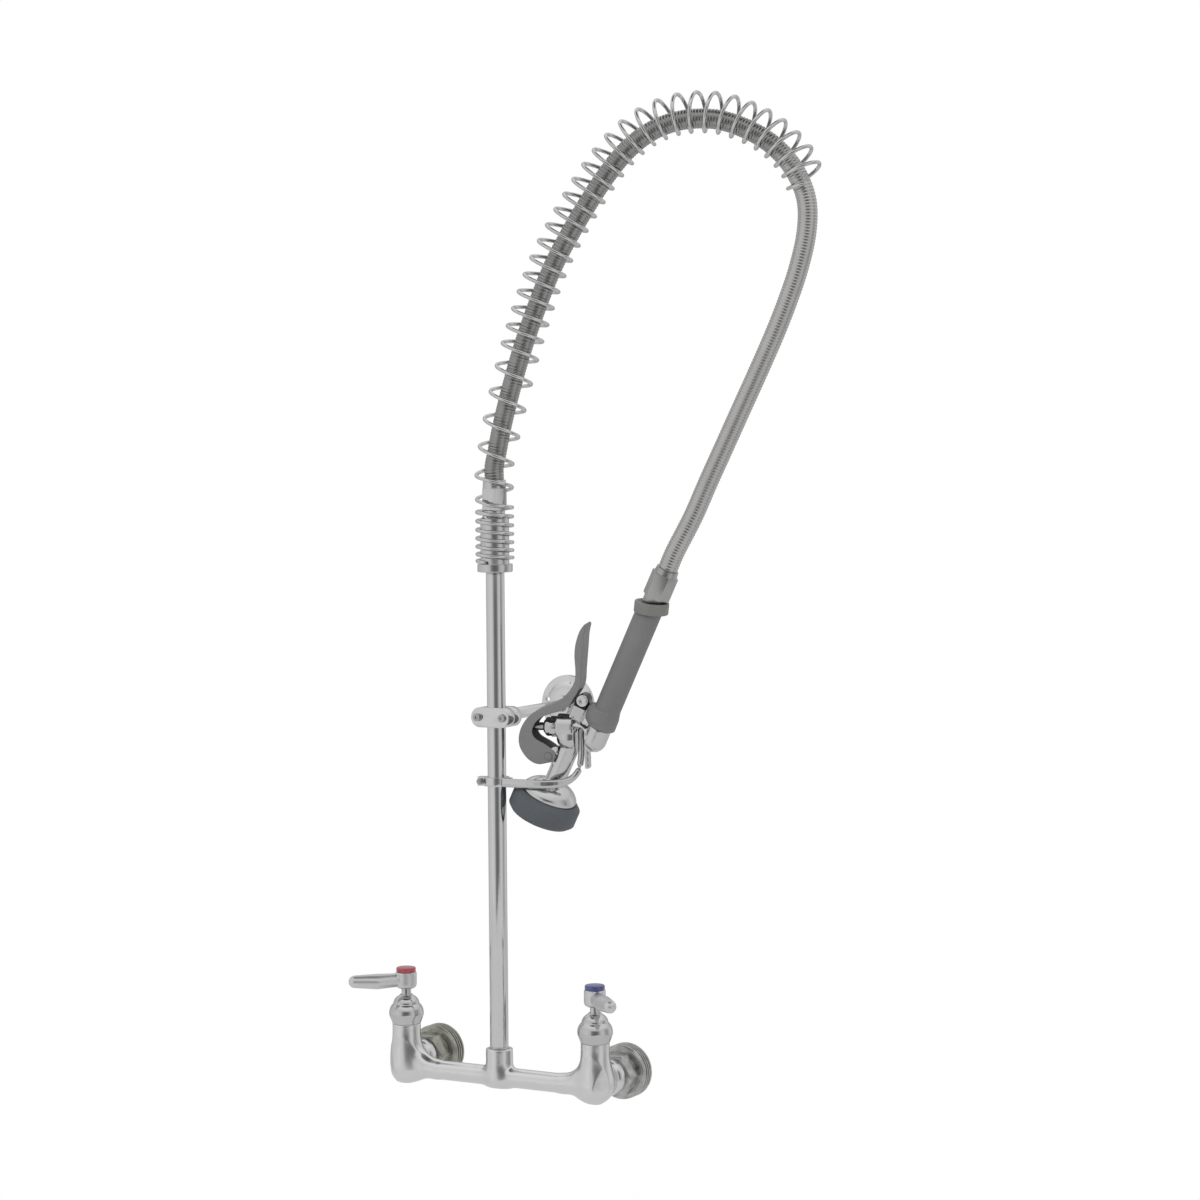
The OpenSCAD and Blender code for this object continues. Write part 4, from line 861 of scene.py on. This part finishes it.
def mixing_body_tree():
    tree = CastTree("mixing body")
    x, y, z = tree.x, tree.y, tree.z
    metal = tree.rod((y, BODY_Y), (z, BAR_Z), (x, -POST_X, POST_X), BAR_R, 0.5)
    for side in (-1, 1):
        post = tree.rod((x, side * POST_X), (y, BODY_Y), (z, -40, 70), POST_R, 1)
        foot = ((x - side * POST_X) ** 2 + (y - BODY_Y) ** 2 + z.smaller(0, 0) ** 2) ** 0.5 - FOOT_R
        arm = tree.rod((x, side * POST_X), (z, 0), (y, BODY_Y, -BOSS_END + 3), ARM_R, 0.5)
        in_x, in_z = x - side * (POST_X - SWEEP_R), z - (BAR_Z + SWEEP_R)
        ring = (((in_x ** 2 + in_z ** 2) ** 0.5 - SWEEP_R) ** 2 + (y - BODY_Y) ** 2) ** 0.5
        sweep = (ring - SWEEP_BAR_R).larger(-side * in_x, 8).larger(in_z, 1)
        metal = metal.smaller(post.larger(foot, 6), 20).smaller(arm, 22).smaller(sweep, 5)
    for side in (-1, 1):
        boss = tree.rod((x, side * POST_X), (z, 0), (y, -BOSS_END, -BOSS_START), BOSS_R, 2.5)
        metal = metal.smaller(boss, 5)
    collar = tree.rod((x, 0), (y, BODY_Y), (z, BAR_Z - 9.6, 70), COLLAR_R, 9)
    metal = metal.smaller(collar.larger(z - COLLAR_TOP, 2), 9).larger(z - POST_TOP, 1)
    for side in (-1, 1):
        chamber = tree.rod((x, side * POST_X), (y, BODY_Y), (z, 8, 60), CHAMBER_R, 0.5)
        inlet = tree.rod((x, side * POST_X), (z, 0), (y, BODY_Y + 20, 0), INLET_R, 0.5)
        metal = metal.larger(-1 * chamber, 0.2).larger(-1 * inlet, 0.2)
    socket = tree.rod((x, 0), (y, BODY_Y), (z, COLLAR_TOP - SOCKET_DEEP, 60), SOCKET_R, 0.5)
    tree.cast(metal.larger(-1 * socket, 0.2))
    return tree


BLOCK_LOW, BLOCK_HIGH = Vector((-122, -80, -24)) * MM, Vector((122, -31, 40)) * MM
BLOCK_CELL = 0.8
cells = [round((high - low) / (BLOCK_CELL * MM)) for low, high in zip(BLOCK_LOW, BLOCK_HIGH)]
cast_body = mixing_body_tree().shape(
    new_piece("cast_body", [(0, 0, 0)], []), Low=BLOCK_LOW, High=BLOCK_HIGH,
    Across=cells[0], Deep=cells[1], Tall=cells[2], Finish=cast_chrome)
shade_smooth(face_outwards(cast_body), 50)
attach(cast_body, "body")
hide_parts("faucet_body")
print("mixing body cells:", cells, "faces:", len(cast_body.data.polygons))

# %% [markdown]
# ## The bonnets
#
# Each bonnet is turned from bar: a ball below, a groove, and a smaller dome above it that the spindle
# comes out of. A lathe needs only the outline. The outline's few points are joined by the same smooth
# curve as the hose's route, in two runs, so that the groove between ball and dome stays sharp.

# %% Lathe
def lathe(name, outline, place, sides=72):
    """A closed outline of distances from the axis and heights, turned once round."""
    count = len(outline)
    points, faces = [], []
    for k in range(sides):
        turn = 2 * math.pi * k / sides
        points += [(r * math.cos(turn), r * math.sin(turn), h) for r, h in outline]
        here, there = k * count, (k + 1) % sides * count
        for i in range(count):
            after = (i + 1) % count
            faces.append((here + i, here + after, there + after, there + i))
    return face_outwards(new_piece(name, points, faces, place))


BALL = [(13.7, 0.5), (14.0, 1.8), (14.9, 4.0), (16.0, 7.0), (16.3, 9.8), (16.0, 12.4), (15.2, 14.8),
        (14.0, 16.8), (12.6, 18.4)]
DOME = [(12.3, 18.9), (12.1, 20.1), (11.4, 21.9), (10.2, 23.6), (8.5, 25.1), (6.9, 26.0)]
bonnet_outline = [(4.9, 0), (13.2, 0), *(tuple(p) for p in catmull_rom(BALL, 4)),
                  *(tuple(p) for p in catmull_rom(DOME, 4)), (6.3, 26.4), (6.1, 27.2), (4.9, 27.4)]


def turned_bonnet(node, side):
    place = Matrix.Translation(Vector((side * POST_X, BODY_Y, POST_TOP)) * MM)
    piece = shade_smooth(lathe("turned_" + node, bonnet_outline, place), 35)
    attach(piece, nodes[node]["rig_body"])
    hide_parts(node)
    return piece


bonnets = [turned_bonnet("hot_bonnet", -1), turned_bonnet("cold_bonnet", 1)]
print("bonnet outline points:", len(bonnet_outline))

# %% [markdown]
# ## The squeeze lever
#
# The lever is pressed steel under a thick coating: two cheeks round a channel where it wraps the
# valve, closing into one rounded blade above. Its outline is drawn flat, as it was before it was
# pressed, and given its width. A Boolean cuts the channel, and the thick coating is shown by the same
# melting of corners that the castings get.

# %% The lever's outline and channel
LEVER_BACK = [(-29.4, 165.2), (-31.0, 158), (-30.7, 149), (-29.1, 141), (-26, 132.5),
              (-20.8, 122.5), (-17.4, 112), (-18.8, 101), (-24, 89), (-34, 77.8), (-42.4, 67),
              (-46.4, 55), (-46.2, 43.5), (-42.4, 34.4), (-35.6, 28.4), (-27, 25.0),
              (-18.5, 25.6), (-11, 30.8), (-6.4, 34.0)]
LEVER_FRONT = [(-6.2, 39.6), (-10.5, 43.6), (-20, 45.6), (-29.6, 46.2), (-34.6, 49), (-36.6, 53.4),
               (-36.2, 60), (-33.2, 67), (-28.8, 72), (-18.6, 81.6), (-13.2, 89.5), (-12.2, 97),
               (-11.0, 104), (-11.2, 112), (-16, 126), (-21.2, 142), (-25.6, 155), (-27.3, 163.6)]
LEVER_HALF, CHANNEL_HALF = 9.5, 7.7
CHANNEL = [(-16.9, 100.6), (-22, 88), (-32.7, 76.6), (-41, 66.2), (-44.7, 54.8), (-44.4, 43.8),
           (-41.0, 36), (-35, 30.5), (-26.5, 27), (-17, 27.6), (-8, 24), (4, 26), (4, 44),
           (-18, 47.6), (-28, 48), (-32.6, 51), (-33.6, 60), (-30.6, 66), (-15.6, 80), (-4, 97),
           (-4, 104), (-13, 107)]


def prism(name, outline, half_width, place):
    """A flat outline in x and z, given its width along y."""
    count = len(outline)
    points = [(x, side * half_width, z) for side in (-1, 1) for x, z in outline]
    faces = [tuple(range(count)), tuple(range(2 * count - 1, count - 1, -1))]
    faces += [(i, (i + 1) % count, count + (i + 1) % count, count + i) for i in range(count)]
    return face_outwards(new_piece(name, points, faces, place))


lever_edge = [tuple(p) for p in (*catmull_rom(LEVER_BACK, 4), *catmull_rom(LEVER_FRONT, 4))]
squeeze = prism("coated_lever", lever_edge, LEVER_HALF, head_frame)
channel = prism("channel", CHANNEL, CHANNEL_HALF, head_frame)
cut = squeeze.modifiers.new("channel", "BOOLEAN")
cut.operation, cut.solver, cut.object = "DIFFERENCE", "EXACT", channel
settled(squeeze)
bpy.data.objects.remove(channel)
melted(squeeze, 0.45, 7)
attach(squeeze, nodes["squeeze_lever"]["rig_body"])
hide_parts("squeeze_lever")
print("lever faces:", len(squeeze.data.polygons))

# %% [markdown]
# ## Machined pieces
#
# A turned or milled piece has flat ends and true rounds, and between them edges that are broken by a
# narrow chamfer. That chamfer is what draws the thin bright line along every real edge. Each solid is
# copied, its loose triangles are merged back into whole faces, and a Bevel breaks its sharp edges.
# Rounding by angle then keeps the flats flat and the rounds round, which a plain smooth shading
# wouldn't. The table gives each finish its slot, its pieces and their chamfers in millimetres.

# %% Machined copies
def dress(piece, material):
    piece.data.materials.clear()
    piece.data.materials.append(material)
    return piece


def machined(node, chamfer, round_below=32):
    source = nodes[node]
    piece = bpy.data.objects.new("finished_" + node, source.data.copy())
    bpy.context.scene.collection.objects.link(piece)
    shape = bmesh.new()
    shape.from_mesh(piece.data)
    bmesh.ops.remove_doubles(shape, verts=shape.verts, dist=2e-6)
    bmesh.ops.dissolve_limit(shape, angle_limit=math.radians(0.6), verts=shape.verts,
                             edges=shape.edges)
    shape.to_mesh(piece.data)
    shape.free()
    if chamfer:
        bevel = piece.modifiers.new("broken edges", "BEVEL")
        bevel.width, bevel.segments = chamfer * MM, 2
        bevel.limit_method, bevel.angle_limit = "ANGLE", math.radians(round_below)
        settled(piece)
    shade_smooth(piece, round_below)
    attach(piece, source["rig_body"])
    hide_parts(node)
    return piece


MACHINED = {
    turned_chrome: ("chrome", {"riser": 0.2, "bracket_flange": 0.3, "bracket_rod": 0.3,
                               "bracket_clamp": 0.6, "hook_clamp": 0.6, "body_screw": 0.2}),
    deep_chrome: ("chrome", {"spring_body": 0.25, "hose_nut": 0.35, "head_bonnet": 0.3,
                             "hot_spindle": 0.2, "cold_spindle": 0.2}),
    satin_steel: ("satin_steel", {"bracket_screws": 0.25, "hook_screws": 0.2, "spray_face": 0.2,
                                  "face_screws": 0.15, "hose_ferrule": 0.4}),
    lever_coating: ("satin_steel", {"lever_pin": 0.3}),
    shaded_yellow_nickel: ("nickel", {"hot_inlet_flange": 0.25, "hot_coupling_nut": 0.5}),
    lit_grey_nickel: ("nickel", {"cold_inlet_flange": 0.25, "cold_coupling_nut": 0.5}),
    bumper_rubber: ("bumper_rubber", {"bumper": 0.5}),
    grip_plastic: ("grip_plastic", {"grip": 0.4}),
    ring_plastic: ("ring_plastic", {"hold_ring": 0.3}),
    red_button: ("red_index", {"hot_index": 0.4}),
    blue_button: ("blue_index", {"cold_index": 0.4}),
}
finished = [dress(machined(node, chamfer), material)
            for material, (slot, family) in MACHINED.items() for node, chamfer in family.items()]
print("machined pieces:", len(finished),
      "faces:", sum(len(piece.data.polygons) for piece in finished))

# %% [markdown]
# ## Giving each piece its finish
#
# The machined copies have their finish already. The solids that stay in the picture as they came, and
# the pieces made above, get theirs here by the family they belong to. A table from finish to names is
# shorter than a call per piece.

# %% Dress the pieces
FINISHES = {
    satin_steel: ["hot_handle_screw", "cold_handle_screw", "valve_stem", "stem_spring"],
    old_brass: ["hot_cartridge", "cold_cartridge", "hot_seat", "cold_seat", "grip_tube",
                "spring_seat"],
    washer_rubber: ["hot_inlet_washer", "cold_inlet_washer", "hose_washer", "hot_plug",
                    "cold_plug", "stem_washer", "spray_gasket", "ferrule_washer"],
}
NEW_FINISHES = {
    hose_steel: [hose], wire_chrome: [spring], lever_coating: [squeeze], cast_chrome: [cast_body],
    satin_chrome: [hot_lever, cold_lever], deep_chrome: [hook_finger, *bonnets],
    valve_chrome: [cast_valve],
}
families = [(material, [nodes[name] for name in names]) for material, names in FINISHES.items()]
for material, pieces in (*families, *NEW_FINISHES.items()):
    for piece in pieces:
        dress(piece, material)
print("dressed:", len(finished), "machined pieces,", sum(map(len, FINISHES.values())),
      "solids and", sum(map(len, NEW_FINISHES.values())), "new pieces")

# %% [markdown]
# ## Light
#
# Chrome shows the room, so the room is the lighting. A white tent gives an even grey, and a few dark
# strips beside the camera put the long dark lines on tubes that tell the eye they are round and
# polished. The world is that room: it is plain white where the camera sees it, and mid grey with dark
# strips where a mirror sees it. Three large soft lamps model the shapes and keep the shadows pale.

# %% World
# compass shares of the room: 0 and 1 are -X, 0.25 is -Y, 0.5 is +X, 0.75 is +Y
WALLS = [(0.00, 0.70), (0.08, 0.76), (0.17, 0.84), (0.235, 0.72), (0.285, 0.24), (0.32, 0.18),
         (0.36, 0.18), (0.385, 0.30), (0.43, 0.68), (0.475, 0.76), (0.52, 0.60), (0.554, 0.38),
         (0.60, 0.60), (0.66, 0.80), (0.72, 0.60), (0.80, 0.42), (0.90, 0.48), (1.00, 0.70)]
# heights in the room, from the level of the object to straight overhead
CEILING = [(0.30, 0.62), (0.50, 0.80), (0.86, 0.95), (0.93, 0.12), (1.00, 0.10)]


world = bpy.data.worlds.new("studio")
bpy.context.scene.world = world
world.use_nodes = True
world.node_tree.nodes.clear()
room = NodeTree(world.node_tree)


def room_ramp(value, levels):
    stops = [(position, grey(level)[:3]) for position, level in levels]
    node = room.node("ShaderNodeValToRGB", {"Fac": value}, stops=stops)
    node.color_ramp.interpolation = "EASE"
    return node.outputs["Color"]


x, y, z = room.parts(room.node("ShaderNodeTexCoord").outputs["Generated"])
walls = room_ramp(y.op("ARCTAN2", x) / (2 * math.pi) + 0.5, WALLS)
ceiling = room_ramp(z, CEILING)
height = room.between(z, 0.25, 0.50, interpolation_type="SMOOTHSTEP")
rays = room.node("ShaderNodeLightPath").outputs
lit_room = room.mix(rays["Is Glossy Ray"], grey(0.62), room.mix(height, walls, ceiling))
straight = Value(room, rays["Is Camera Ray"]).op("MAXIMUM", rays["Is Transmission Ray"])
background = room.node("ShaderNodeBackground", {
    "Color": room.mix(straight, lit_room, grey(1))})
room.node("ShaderNodeOutputWorld", {0: background.outputs[0]})
print("room tones:", len(WALLS), "round,", len(CEILING), "up")

# %% Lamps
# name, place, target, width and power, in metres and watts
LAMPS = [
    ("key", (-0.9, -2.2, 2.3), (0.05, -0.05, 0.45), 1.5, 34),
    ("fill", (2.6, -1.2, 1.2), (0.05, -0.05, 0.40), 1.4, 18),
    ("back", (-0.8, 1.8, 1.9), (0.05, -0.05, 0.50), 1.2, 16),
]
for name, place, target, size, power in LAMPS:
    lamp = bpy.data.lights.new(name, "AREA")
    lamp.energy, lamp.size = power, size
    shown = bpy.data.objects.new(name, lamp)
    shown.location = place
    shown.rotation_euler = (Vector(target) - Vector(place)).to_track_quat("-Z", "Y").to_euler()
    shown.visible_glossy = False
    bpy.context.scene.collection.objects.link(shown)
print("lamps:", len(LAMPS))

# %% [markdown]
# ## The floor
#
# The faucet hangs on a wall, well above the floor, so the floor only has to be pale and quiet. To the
# camera it is white, with a little of the real light mixed in so that it can still hold a shadow. It
# is small, because the chrome shows the room past its edge, and greyer to a mirror than to the lamps.

# %% Floor
def build_floor(depth, half_width):
    floor = new_piece("floor", [(-1, -1, 0), (1, -1, 0), (1, 1, 0), (-1, 1, 0)], [(0, 1, 2, 3)],
                      Matrix.Translation((0, 0, depth)) @ Matrix.Scale(half_width / MM, 4))
    paint = Finish("pale floor")
    ray = paint.node("ShaderNodeLightPath")
    paint.set(Base_Color=paint.mix(ray.outputs["Is Glossy Ray"], grey(0.86), grey(0.72)),
              Roughness=0.9)
    glow = paint.node("ShaderNodeEmission", {"Color": grey(1), "Strength": 1.0})
    out = paint.node("ShaderNodeVectorMath", {0: paint.place, 1: (0, 0, depth)},
                     operation="DISTANCE").outputs["Value"]
    white = 0.8 + 0.2 * paint.between(out, 0.2, 1.6, interpolation_type="SMOOTHSTEP")
    seen = Value(paint, ray.outputs["Is Camera Ray"]) * white
    mix = paint.node("ShaderNodeMixShader", {
        0: seen, 1: paint.shader.outputs[0], 2: glow.outputs[0]})
    paint.feed(paint.tree.nodes["Material Output"].inputs["Surface"], mix.outputs[0])
    dress(floor, paint.material)
    print("floor at", depth, "m, with sides of", 2 * half_width, "m")


build_floor(depth=-0.45, half_width=1.8)

# %% [markdown]
# ## Finish
#
# Pictures are judged in the Standard view, which shows a colour as it is written.

# %% View
bpy.context.scene.view_settings.view_transform = "Standard"
